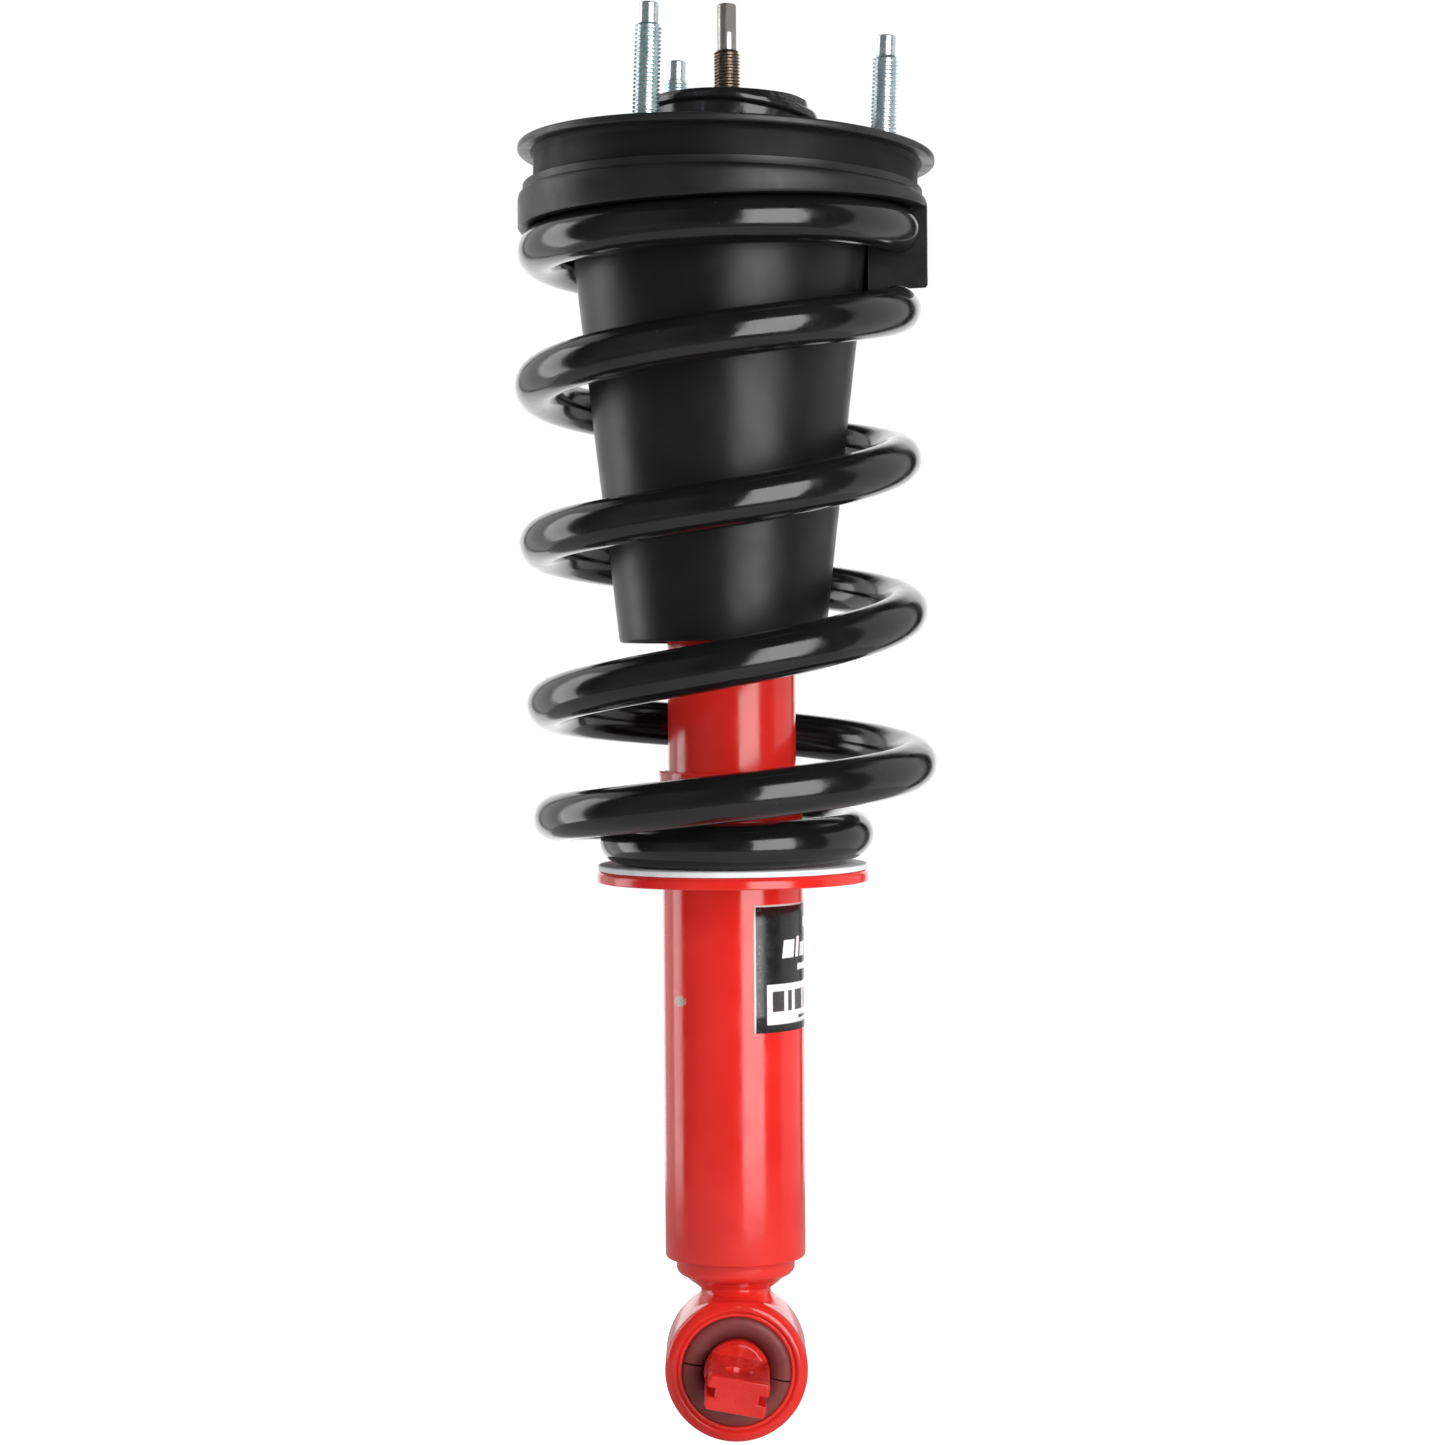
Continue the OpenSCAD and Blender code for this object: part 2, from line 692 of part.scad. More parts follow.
module dust_boot() {
    top = isolator_bore / 2 - boot_gap;
    low = boot_low_d / 2;
    boot_z = plate_z - under_mount - boot_len;
    straight = 24;
    color(RUBBER) intersection() {
        translate([isolator_x, 0, 0]) rotate_extrude() polygon([
            [low - boot_wall, boot_z], [low, boot_z], [top, plate_z - under_mount - straight],
            [top, plate_z], [top - boot_wall, plate_z],
            [top - boot_wall, plate_z - under_mount - straight]
        ]);
        below_mount();
    }
}

module coil_spring() {
    steps = ceil(turns * steps_per_turn);
    color(BLACK) skin([for (i = [0:steps]) wire_ring(turns * i / steps)]);
}

bar_pin();
lower_eye();
bushing_shell();
eye_bushing();
base_cup();
outer_tube();
tube_cap();
seat_sleeve();
lower_spring_seat();
seat_ring();
tube_label();
pressure_tube();
foot_valve();
rod_guide();
guide_bush();
rod_seal();
piston_rod();
piston();
piston_band();
piston_shims();
piston_nut();
rebound_stop();
lower_washer();
centre_sleeve();
upper_washer();
rod_nut();
mount_plate();
upper_spring_seat();
mount_studs();
mount_bush();
bush_retainer();
bump_stop_cup();
bump_stop();
upper_spring_isolator();
dust_boot();
coil_spring();
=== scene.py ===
"""Coil-over strut assembly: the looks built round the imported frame.

Every class below stands for one sub-assembly of the strut. Sizes are in millimetres in the
strut's own frame: the origin is the centre of the lower eye and +Z runs up the strut.
"""

import json
import logging
import math
from dataclasses import dataclass
from enum import Enum
from typing import Callable, Iterable, Optional, Sequence, Union

import bmesh
import bpy
from mathutils import Matrix, Vector, noise

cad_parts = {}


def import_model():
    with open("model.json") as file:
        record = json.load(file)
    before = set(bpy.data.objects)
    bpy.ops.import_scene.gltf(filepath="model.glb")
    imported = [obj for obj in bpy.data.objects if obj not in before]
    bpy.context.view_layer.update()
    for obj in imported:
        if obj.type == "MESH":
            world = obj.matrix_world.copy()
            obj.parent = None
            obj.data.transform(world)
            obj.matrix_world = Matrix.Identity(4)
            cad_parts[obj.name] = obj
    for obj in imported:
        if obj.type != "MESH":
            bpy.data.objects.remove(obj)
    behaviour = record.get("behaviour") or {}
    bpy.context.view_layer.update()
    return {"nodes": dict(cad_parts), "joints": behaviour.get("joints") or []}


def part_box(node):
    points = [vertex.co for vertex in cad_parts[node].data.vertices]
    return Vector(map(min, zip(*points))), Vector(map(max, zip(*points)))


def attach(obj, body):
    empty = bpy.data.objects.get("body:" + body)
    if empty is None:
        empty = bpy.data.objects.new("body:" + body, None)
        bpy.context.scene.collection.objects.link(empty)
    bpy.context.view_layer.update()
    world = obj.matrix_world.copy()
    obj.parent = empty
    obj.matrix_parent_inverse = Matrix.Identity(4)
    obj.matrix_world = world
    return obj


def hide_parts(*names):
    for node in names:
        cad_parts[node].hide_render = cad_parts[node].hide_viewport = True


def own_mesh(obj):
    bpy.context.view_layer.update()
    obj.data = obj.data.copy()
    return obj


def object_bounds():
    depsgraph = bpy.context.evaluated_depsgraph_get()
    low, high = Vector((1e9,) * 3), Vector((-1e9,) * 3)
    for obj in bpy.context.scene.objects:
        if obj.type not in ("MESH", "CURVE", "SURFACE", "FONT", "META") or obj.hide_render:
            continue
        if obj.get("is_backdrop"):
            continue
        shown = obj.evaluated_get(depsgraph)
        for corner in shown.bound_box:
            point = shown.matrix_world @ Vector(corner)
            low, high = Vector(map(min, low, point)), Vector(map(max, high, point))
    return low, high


log = logging.getLogger("strut")

MM = 0.001
FULL_TURN = 2 * math.pi

Colour = tuple[float, float, float]
Corner = tuple[float, float, float]
Socket = bpy.types.NodeSocket
Value = Union[float, Sequence[float], Socket]


class Axis(Enum):
    """The axes that a section is turned about."""

    Y = "Y"
    Z = "Z"


class Body(Enum):
    """The bodies that pieces ride on."""

    MOUNT = "upper_mount"
    ROD = "piston_rod"
    TUBE = "strut_tube"
    PIN = "bar_pin"


def node_span(name: str) -> tuple[Vector, Vector]:
    """Gives a CAD node's lowest and highest corners.

    Args:
        name: The node's name.

    Returns:
        The two corners, in millimetres.
    """
    low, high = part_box(name)
    return low / MM, high / MM


# ---- Finishes


class Recipe:
    """A material being mixed, one shader node at a time."""

    def __init__(self, name: str) -> None:
        """Starts an empty material with its Principled shader."""
        self.material = bpy.data.materials.new(name)
        self.material.use_nodes = True
        self.tree = self.material.node_tree
        self.tree.nodes.clear()
        self.shader = self.tree.nodes.new("ShaderNodeBsdfPrincipled")
        output = self.tree.nodes.new("ShaderNodeOutputMaterial")
        self.tree.links.new(self.shader.outputs["BSDF"], output.inputs["Surface"])
        self.place = self.tree.nodes.new("ShaderNodeTexCoord").outputs["Object"]

    def put(self, socket: Socket, value: Value) -> None:
        """Links a socket to another one, or sets its value."""
        if isinstance(value, bpy.types.NodeSocket):
            self.tree.links.new(value, socket)
        else:
            socket.default_value = value

    def add(self, kind: str, inputs: Sequence[Value] = (), **settings: object) -> Socket:
        """Adds one node.

        Args:
            kind: The node's type.
            inputs: Its inputs from the first on; None leaves one as it is.
            settings: Properties set on the node.

        Returns:
            The node's first output.
        """
        node = self.tree.nodes.new(kind)
        for key, setting in settings.items():
            setattr(node, key, setting)
        for socket, value in zip(node.inputs, inputs):
            if value is not None:
                self.put(socket, value)
        return node.outputs[0]

    def math(self, operation: str, a: Value, b: Value = 0.0) -> Socket:
        """Adds a Math node and returns its result."""
        return self.add("ShaderNodeMath", (a, b), operation=operation)

    def split(self, vector: Socket) -> tuple[Socket, Socket, Socket]:
        """Returns a vector's three parts."""
        node = self.tree.nodes.new("ShaderNodeSeparateXYZ")
        self.put(node.inputs[0], vector)
        return node.outputs["X"], node.outputs["Y"], node.outputs["Z"]

    def length(self, vector: Socket) -> Socket:
        """Returns a vector's length."""
        node = self.tree.nodes.new("ShaderNodeVectorMath")
        node.operation = "LENGTH"
        self.put(node.inputs[0], vector)
        return node.outputs["Value"]

    def stretched(self, scale: Colour) -> Socket:
        """Returns the object's coordinates scaled along each axis."""
        return self.add("ShaderNodeMapping", (self.place, None, None, scale))

    def grain(self, size: float, detail: float = 3.0, stretch: Colour = (1, 1, 1)) -> Socket:
        """Adds a noise whose features are about one size.

        Args:
            size: The size of the features, in millimetres.
            detail: How many octaves the noise has.
            stretch: Scale of the pattern along each axis.

        Returns:
            The noise, from 0 to 1.
        """
        where = self.place if stretch == (1, 1, 1) else self.stretched(stretch)
        return self.add("ShaderNodeTexNoise", (where, None, 1 / (size * MM), detail))

    def between(self, value: Socket, low: float, high: float, a: float = 0.0, b: float = 1.0) -> Socket:
        """Maps a value from one range to another, with soft ends."""
        return self.add("ShaderNodeMapRange", (value, low, high, a, b), interpolation_type="SMOOTHSTEP")

    def mix(self, share: Value, first: Value, second: Value) -> Socket:
        """Mixes two colours.

        Args:
            share: The share of the second colour.
            first: The colour at 0.
            second: The colour at 1.

        Returns:
            The mixed colour.
        """
        node = self.tree.nodes.new("ShaderNodeMix")
        node.data_type = "RGBA"
        self.put(node.inputs["Factor"], share)
        for name, value in (("A", first), ("B", second)):
            socket = [s for s in node.inputs if s.name == name and s.type == "RGBA"][0]
            self.put(socket, (*value, 1.0) if isinstance(value, tuple) else value)
        return [s for s in node.outputs if s.type == "RGBA"][0]

    def bump(self, layers: Sequence[tuple[Socket, float]]) -> None:
        """Gives the shader its bumps.

        Args:
            layers: Each pattern with its height in millimetres.
        """
        normal: Optional[Socket] = None
        for height, depth in layers:
            node = self.tree.nodes.new("ShaderNodeBump")
            node.inputs["Distance"].default_value = depth * MM
            self.put(node.inputs["Height"], height)
            if normal is not None:
                self.put(node.inputs["Normal"], normal)
            normal = node.outputs["Normal"]
        if normal is not None:
            self.put(self.shader.inputs["Normal"], normal)

    def surface(self, **values: Value) -> None:
        """Sets the shader's inputs, named with underscores for spaces."""
        for key, value in values.items():
            socket = self.shader.inputs[key.replace("_", " ")]
            self.put(socket, (*value, 1.0) if isinstance(value, tuple) and len(value) == 3 else value)


@dataclass(frozen=True)
class Paint:
    """Glossy sprayed paint or lacquer with orange peel."""

    name: str
    colour: Colour
    shade: Colour
    gloss: tuple[float, float] = (0.08, 0.15)
    peel: float = 0.006
    peel_size: float = 2.2
    ripple: float = 0.03
    specks: Optional[Colour] = None

    def mixed(self) -> Recipe:
        """Returns the recipe, which a piece may add to."""
        recipe = Recipe(self.name)
        cloud = recipe.between(recipe.grain(26, 2), 0.3, 0.7)
        colour = recipe.mix(cloud, self.colour, self.shade)
        if self.specks is not None:
            dots = recipe.add("ShaderNodeTexVoronoi", (recipe.place, None, 260.0))
            near = recipe.between(dots, 0.0, 0.075, 1.0, 0.0)
            chance = recipe.between(recipe.grain(9, 1), 0.52, 0.6)
            colour = recipe.mix(recipe.math("MULTIPLY", near, chance), colour, self.specks)
        rough = recipe.between(recipe.grain(7, 4), 0.35, 0.7, *self.gloss)
        recipe.surface(Base_Color=colour, Roughness=rough)
        recipe.bump([
            (recipe.grain(11, 2), self.ripple),
            (recipe.grain(self.peel_size, 2), self.peel),
        ])
        return recipe

    def make(self) -> bpy.types.Material:
        """Returns the finished material."""
        return self.mixed().material


@dataclass(frozen=True)
class ChippedPaint(Paint):
    """Paint with one small chip down to the grey primer."""

    chip_at: Corner = (-20.6, -17.4, 141.0)
    chip_size: Corner = (4.2, 4.2, 2.3)
    primer: Colour = (0.42, 0.31, 0.26)

    def make(self) -> bpy.types.Material:
        """Returns the finished material."""
        recipe = self.mixed()
        colour = recipe.shader.inputs["Base Color"].links[0].from_socket
        away = recipe.add("ShaderNodeVectorMath",
                          (recipe.place, tuple(c * MM for c in self.chip_at)), operation="SUBTRACT")
        scaled = recipe.add("ShaderNodeVectorMath",
                            (away, tuple(1 / (c * MM) for c in self.chip_size)), operation="MULTIPLY")
        ragged = recipe.math("ADD", recipe.length(scaled),
                             recipe.math("MULTIPLY", recipe.grain(1.1, 4), 0.9))
        bare = recipe.between(ragged, 1.2, 1.36, 1.0, 0.0)
        recipe.surface(Base_Color=recipe.mix(bare, colour, self.primer))
        return recipe.material


@dataclass(frozen=True)
class Rubber:
    """Moulded rubber, with mould flow marks and fine scuffs."""

    name: str
    colour: Colour
    worn: Colour
    gloss: tuple[float, float] = (0.36, 0.5)
    wrinkle: float = 0.05
    wrinkle_size: float = 9.0
    scuff_stretch: Colour = (1, 1, 14)
    shine: float = 0.5

    def make(self) -> bpy.types.Material:
        """Returns the finished material."""
        recipe = Recipe(self.name)
        bloom = recipe.between(recipe.grain(34, 4), 0.38, 0.72)
        scuffs = recipe.between(recipe.grain(6, 5, self.scuff_stretch), 0.58, 0.74)
        colour = recipe.mix(recipe.math("MULTIPLY", bloom, 0.6), self.colour, self.worn)
        colour = recipe.mix(recipe.math("MULTIPLY", scuffs, 0.35), colour, self.worn)
        rough = recipe.between(recipe.grain(14, 5), 0.3, 0.7, *self.gloss)
        recipe.surface(Base_Color=colour, Roughness=rough)
        recipe.shader.inputs["Specular IOR Level"].default_value = self.shine
        recipe.bump([
            (recipe.grain(self.wrinkle_size, 3), self.wrinkle),
            (recipe.grain(1.2, 3, self.scuff_stretch), 0.008),
        ])
        return recipe.material


@dataclass(frozen=True)
class OversprayedRubber:
    """The eye's rubber, red with overspray towards its edge and darker towards the pin."""

    name: str
    near: Colour = (0.11, 0.017, 0.014)
    far: Colour = (0.2, 0.032, 0.027)
    reach: tuple[float, float] = (13.0, 19.5)

    def make(self) -> bpy.types.Material:
        """Returns the finished material."""
        recipe = Recipe(self.name)
        out = recipe.length(recipe.stretched((1, 0, 1)))
        reach = recipe.between(out, *(r * MM for r in self.reach))
        patchy = recipe.math("MULTIPLY", reach, recipe.between(recipe.grain(5, 4), 0.25, 0.6, 0.55, 1.0))
        colour = recipe.mix(patchy, self.near, self.far)
        recipe.surface(Base_Color=colour, Roughness=recipe.between(recipe.grain(3, 4), 0.3, 0.7, 0.48, 0.62))
        recipe.bump([(recipe.grain(2.4, 4), 0.05), (recipe.grain(0.5, 2), 0.01)])
        return recipe.material


@dataclass(frozen=True)
class Metal:
    """Bare or plated metal, mottled and faintly brushed."""

    name: str
    colour: Colour
    stain: Colour
    gloss: tuple[float, float] = (0.24, 0.42)
    metallic: float = 1.0
    mottle: float = 2.5
    brush: Colour = (1, 1, 8)

    def make(self) -> bpy.types.Material:
        """Returns the finished material."""
        recipe = Recipe(self.name)
        mottle = recipe.between(recipe.grain(self.mottle, 4), 0.36, 0.66)
        lines = recipe.grain(1.5, 4, self.brush)
        rough = recipe.between(lines, 0.3, 0.7, *self.gloss)
        recipe.surface(Base_Color=recipe.mix(mottle, self.colour, self.stain), Roughness=rough,
                       Metallic=self.metallic)
        recipe.bump([(lines, 0.006), (recipe.grain(0.6, 2), 0.004)])
        return recipe.material


@dataclass(frozen=True)
class RodSteel:
    """The rod's steel: bare at the tip and browned on the thread."""

    name: str
    bare: Colour = (0.52, 0.5, 0.47)
    brown: Colour = (0.17, 0.125, 0.095)
    browned: tuple[float, float] = (505.4, 506.6)

    def make(self) -> bpy.types.Material:
        """Returns the finished material."""
        recipe = Recipe(self.name)
        tip = recipe.between(recipe.split(recipe.place)[2], *(z * MM for z in self.browned))
        lines = recipe.grain(1.2, 4, (1, 1, 0.12))
        bare = recipe.mix(recipe.between(lines, 0.3, 0.7), self.bare, (0.3, 0.285, 0.265))
        brown = recipe.mix(recipe.between(recipe.grain(1.6, 4), 0.35, 0.65), self.brown, (0.3, 0.25, 0.2))
        recipe.surface(Base_Color=recipe.mix(tip, brown, bare), Metallic=1.0,
                       Roughness=recipe.between(lines, 0.3, 0.7, 0.3, 0.48))
        recipe.bump([(lines, 0.012)])
        return recipe.material


@dataclass(frozen=True)
class Plastic:
    """A moulded plastic or foam with a soft, slightly uneven surface."""

    name: str
    colour: Colour
    shade: Colour
    gloss: tuple[float, float] = (0.35, 0.5)
    pore: float = 0.01
    pore_size: float = 1.0

    def make(self) -> bpy.types.Material:
        """Returns the finished material."""
        recipe = Recipe(self.name)
        cloud = recipe.between(recipe.grain(8, 3), 0.3, 0.7)
        recipe.surface(Base_Color=recipe.mix(cloud, self.colour, self.shade),
                       Roughness=recipe.between(recipe.grain(3, 4), 0.3, 0.7, *self.gloss))
        recipe.bump([(recipe.grain(self.pore_size, 3), self.pore)])
        return recipe.material


@dataclass(frozen=True)
class Block:
    """A printed patch of the label: its sides as shares of the sheet, and how far it slants."""

    left: float
    right: float
    low: float
    high: float
    slant: float = 0.0


@dataclass(frozen=True)
class LabelPrint:
    """The label: a black field with a pale edge, a white panel and plain blocks for graphics."""

    name: str
    ink: Colour = (0.012, 0.012, 0.013)
    white: Colour = (0.86, 0.83, 0.82)
    panel: Block = Block(0.103, 0.97, 0.06, 0.375)
    dark: tuple[Block, ...] = (
        Block(0.15, 0.26, 0.16, 0.32), Block(0.30, 0.345, 0.16, 0.32), Block(0.385, 0.5, 0.16, 0.32),
        Block(0.54, 0.585, 0.16, 0.32), Block(0.62, 0.9, 0.2, 0.28), Block(0.44, 0.9, 0.09, 0.115),
    )
    pale: tuple[Block, ...] = (
        Block(0.16, 0.29, 0.575, 0.715, 0.14), Block(0.315, 0.36, 0.575, 0.735, 0.14),
        Block(0.385, 0.5, 0.575, 0.685, 0.14), Block(0.53, 0.8, 0.575, 0.685, 0.14),
        Block(0.38, 0.8, 0.47, 0.52, 0.1), Block(0.56, 0.68, 0.8, 0.88, 0.0),
    )

    def patch(self, recipe: Recipe, u: Socket, v: Socket, block: Block) -> Socket:
        """Returns the mask of one printed block."""
        soft = 0.004
        leaned = recipe.math("SUBTRACT", u, recipe.math("MULTIPLY", v, block.slant))
        parts = (
            recipe.between(leaned, block.left - soft, block.left + soft),
            recipe.between(leaned, block.right - soft, block.right + soft, 1.0, 0.0),
            recipe.between(v, block.low - soft, block.low + soft),
            recipe.between(v, block.high - soft, block.high + soft, 1.0, 0.0),
        )
        mask = parts[0]
        for part in parts[1:]:
            mask = recipe.math("MULTIPLY", mask, part)
        return mask

    def union(self, recipe: Recipe, u: Socket, v: Socket, blocks: Iterable[Block]) -> Socket:
        """Returns the mask of several blocks together."""
        mask: Optional[Socket] = None
        for block in blocks:
            patch = self.patch(recipe, u, v, block)
            mask = patch if mask is None else recipe.math("MAXIMUM", mask, patch)
        assert mask is not None
        return mask

    def make(self) -> bpy.types.Material:
        """Returns the finished material."""
        recipe = Recipe(self.name)
        u, v, _ = recipe.split(recipe.add("ShaderNodeUVMap", uv_map="wrap"))
        field_mask = self.patch(recipe, u, v, Block(0.016, 0.984, -0.1, 0.985))
        worn = recipe.math("MULTIPLY", recipe.between(recipe.grain(0.7, 4), 0.62, 0.68),
                           recipe.between(u, 0.03, 0.085, 1.0, 0.0))
        ink = recipe.mix(recipe.math("MULTIPLY", worn, 0.5), self.ink, (0.5, 0.45, 0.4))
        colour = recipe.mix(field_mask, self.white, ink)
        colour = recipe.mix(self.union(recipe, u, v, self.pale), colour, self.white)
        colour = recipe.mix(self.patch(recipe, u, v, self.panel), colour, self.white)
        colour = recipe.mix(self.union(recipe, u, v, self.dark), colour, (0.06, 0.055, 0.055))
        recipe.surface(Base_Color=colour, Roughness=recipe.between(recipe.grain(4, 3), 0.3, 0.7, 0.2, 0.3))
        recipe.bump([(recipe.grain(5, 2), 0.015)])
        return recipe.material


class Finishes:
    """Every finish of the strut, made once and shared."""

    def __init__(self) -> None:
        """Mixes the materials."""
        red, deep = (0.76, 0.026, 0.019), (0.69, 0.018, 0.013)
        recipes = {
            "red_paint": Paint("red_paint", red, deep, (0.14, 0.22)),
            "tube_paint": ChippedPaint("tube_paint", red, deep, (0.14, 0.22)),
            "pin_paint": Paint("pin_paint", (0.72, 0.022, 0.014), (0.6, 0.014, 0.01),
                               (0.2, 0.34), 0.02, 1.2, 0.1),
            "bushing_rubber": OversprayedRubber("bushing_rubber"),
            "zinc": Metal("zinc", (0.74, 0.84, 0.86), (0.62, 0.73, 0.76)),
            "bare_steel": Metal("bare_steel", (0.5, 0.48, 0.46), (0.34, 0.32, 0.3)),
            "rod_steel": RodSteel("rod_steel"),
            "bronze": Metal("bronze", (0.62, 0.42, 0.2), (0.42, 0.27, 0.12)),
            "white_nylon": Plastic("white_nylon", (0.8, 0.81, 0.83), (0.74, 0.75, 0.77), (0.6, 0.75)),
            "label": LabelPrint("label"),
            "black_coat": Paint("black_coat", (0.009, 0.009, 0.0095), (0.013, 0.013, 0.0135),
                                (0.36, 0.48), 0.006, 1.1, 0.01),
            "spring_lacquer": Paint("spring_lacquer", (0.0065, 0.0065, 0.007), (0.01, 0.01, 0.0105),
                                    (0.11, 0.2), 0.016, 1.7, 0.05, (0.12, 0.12, 0.12)),
            "gloss_rubber": Rubber("gloss_rubber", (0.008, 0.008, 0.0085), (0.02, 0.02, 0.02),
                                   (0.14, 0.26), 0.25, 6.0, (1, 1, 1)),
            "black_rubber": Rubber("black_rubber", (0.007, 0.007, 0.0072), (0.016, 0.016, 0.016),
                                   shine=0.4),
            # Painted shade: the plate's black coat made darker and duller for the cup, which sits in shadow
            # under the plate; its record slot stays black_coat.
            "cup_coat_painted_shade": Rubber("cup_coat_painted_shade", (0.005, 0.005, 0.0052), (0.01, 0.01, 0.01), (0.5, 0.62),
                               shine=0.16),
            "boot_rubber": Rubber("boot_rubber", (0.0065, 0.0067, 0.0067), (0.013, 0.0134, 0.013),
                                  (0.34, 0.43), 0.06, 16.0, (1, 1, 9), 0.3),
            "bump_foam": Plastic("bump_foam", (0.72, 0.6, 0.3), (0.6, 0.48, 0.22), (0.7, 0.85), 0.08, 0.8),
        }
        self.materials = {name: recipe.make() for name, recipe in recipes.items()}

    def __getitem__(self, name: str) -> bpy.types.Material:
        """Returns one finish by its name."""
        return self.materials[name]


# ---- Shaping


class Workpiece:
    """A piece being shaped, in millimetres."""

    def __init__(self, name: str) -> None:
        """Starts an empty piece."""
        self.name = name
        self.bm = bmesh.new()

    def everything(self, mesh: Optional[bmesh.types.BMesh] = None) -> list:
        """Returns all vertices, edges and faces."""
        bm = mesh or self.bm
        return list(bm.verts) + list(bm.edges) + list(bm.faces)

    def join(self, other: bmesh.types.BMesh) -> None:
        """Adds another mesh to this one."""
        mesh = bpy.data.meshes.new("joining")
        other.to_mesh(mesh)
        other.free()
        self.bm.from_mesh(mesh)
        bpy.data.meshes.remove(mesh)

    def turn(self, corners: Sequence[Corner], steps: int = 96, along: Axis = Axis.Z,
             centre: float = 0.0, angle: float = FULL_TURN, start: float = 0.0) -> None:
        """Turns a section into a ring or a solid, as on a lathe.

        Args:
            corners: The section's corners: radius, height and the length rounded off each way.
            steps: The steps of a full turn.
            along: The axis that it is turned about.
            centre: Where the axis stands along X.
            angle: How far the section is swept.
            start: Where the sweep begins.
        """
        bm = bmesh.new()
        verts = [bm.verts.new((r, 0, z)) for r, z, _ in corners]
        bm.faces.new(verts)
        for size in sorted({c[2] for c in corners if c[2] > 0}):
            chosen = [v for v, c in zip(verts, corners) if c[2] == size]
            bmesh.ops.bevel(bm, geom=chosen, offset=size, offset_type="OFFSET", segments=5,
                            profile=0.5, affect="VERTICES", material=-1)
        bmesh.ops.delete(bm, geom=list(bm.faces), context="FACES_ONLY")
        inner = [e for e in bm.edges if all(abs(v.co.x) < 1e-6 for v in e.verts)]
        bmesh.ops.delete(bm, geom=inner, context="EDGES")
        full = abs(angle - FULL_TURN) < 1e-9
        section = list(bm.verts) + list(bm.edges)
        if start:
            bmesh.ops.rotate(bm, verts=list(bm.verts), cent=(0, 0, 0),
                             matrix=Matrix.Rotation(start, 3, "Z"))
        made = bmesh.ops.spin(bm, geom=section, cent=(0, 0, 0), axis=(0, 0, 1), angle=angle,
                              steps=max(2, round(steps * angle / FULL_TURN)), use_merge=full)
        if not full:
            first = [e for e in section if isinstance(e, bmesh.types.BMEdge)]
            last = [e for e in made["geom_last"] if isinstance(e, bmesh.types.BMEdge)]
            for rim in (first, last):
                bmesh.ops.contextual_create(bm, geom=rim)
        bmesh.ops.remove_doubles(bm, verts=list(bm.verts), dist=1e-4)
        bmesh.ops.recalc_face_normals(bm, faces=list(bm.faces))
        if along is Axis.Y:
            bmesh.ops.rotate(bm, verts=list(bm.verts), cent=(0, 0, 0),
                             matrix=Matrix.Rotation(-math.pi / 2, 3, "X"))
        bmesh.ops.translate(bm, verts=list(bm.verts), vec=(centre, 0, 0))
        self.join(bm)

    def thread(self, radius: float, pitch: float, low: float, high: float, chamfer: float,
               steps: int = 36) -> None:
        """Cuts a real screw thread along Z.

        Args:
            radius: The thread's outer radius.
            pitch: Its pitch.
            low: Its lower end.
            high: Its upper end.
            chamfer: The chamfer at the upper end.
            steps: The steps of a turn.
        """
        bm = bmesh.new()
        root = radius - 0.61 * pitch
        count = math.ceil((high - low) / pitch) + 3
        line = []
        for i in range(count):
            z = low + (i - 1.5) * pitch
            for r, share in ((root, 0.0), (root, 0.16), (radius, 0.5), (radius, 0.66)):
                line.append(bm.verts.new((r, 0, z + share * pitch)))
        for a, b in zip(line, line[1:]):
            bm.edges.new((a, b))
        bmesh.ops.spin(bm, geom=list(bm.verts) + list(bm.edges), cent=(0, 0, 0), axis=(0, 0, 1),
                       dvec=(0, 0, pitch / steps), angle=FULL_TURN, steps=steps, use_merge=False)
        bmesh.ops.remove_doubles(bm, verts=list(bm.verts), dist=1e-3)
        for z, way in ((low, -1), (high, 1)):
            self.cut(bm, (0, 0, z), (0, 0, way))
        for vert in bm.verts:
            limit = radius - max(0.0, vert.co.z - (high - chamfer))
            flat = math.hypot(vert.co.x, vert.co.y)
            if flat > limit:
                vert.co.x *= limit / flat
                vert.co.y *= limit / flat
        bmesh.ops.recalc_face_normals(bm, faces=list(bm.faces))
        self.join(bm)

    def cut(self, bm: bmesh.types.BMesh, point: Corner, away: Corner) -> None:
        """Cuts off what lies past a plane and closes the cut."""
        cut = bmesh.ops.bisect_plane(bm, geom=self.everything(bm), plane_co=point, plane_no=away,
                                     clear_outer=True, dist=1e-5)["geom_cut"]
        edges = [e for e in cut if isinstance(e, bmesh.types.BMEdge)]
        if edges:
            bmesh.ops.triangle_fill(bm, edges=edges, use_beauty=True)

    def prism(self, outline: Sequence[tuple[float, float]], low: float, high: float,
              chamfer: float = 0.0) -> None:
        """Extrudes an outline in X and Z along Y, and tapers both ends by a small chamfer."""
        bm = bmesh.new()
        size = max(abs(x) for x, _ in outline)
        slim = 1 - chamfer / size
        stations = [(low, slim), (low + chamfer, 1.0), (high - chamfer, 1.0), (high, slim)]
        if not chamfer:
            stations = [(low, 1.0), (high, 1.0)]
        first = stations[0]
        face = bm.faces.new([bm.verts.new((x * first[1], low, z * first[1])) for x, z in outline])
        for (y0, s0), (y1, s1) in zip(stations, stations[1:]):
            made = bmesh.ops.extrude_face_region(bm, geom=[face])["geom"]
            face = next(f for f in made if isinstance(f, bmesh.types.BMFace))
            moved = [v for v in made if isinstance(v, bmesh.types.BMVert)]
            bmesh.ops.scale(bm, vec=(s1 / s0, 1, s1 / s0), verts=moved)
            bmesh.ops.translate(bm, verts=moved, vec=(0, y1 - y0, 0))
        bmesh.ops.recalc_face_normals(bm, faces=list(bm.faces))
        self.join(bm)

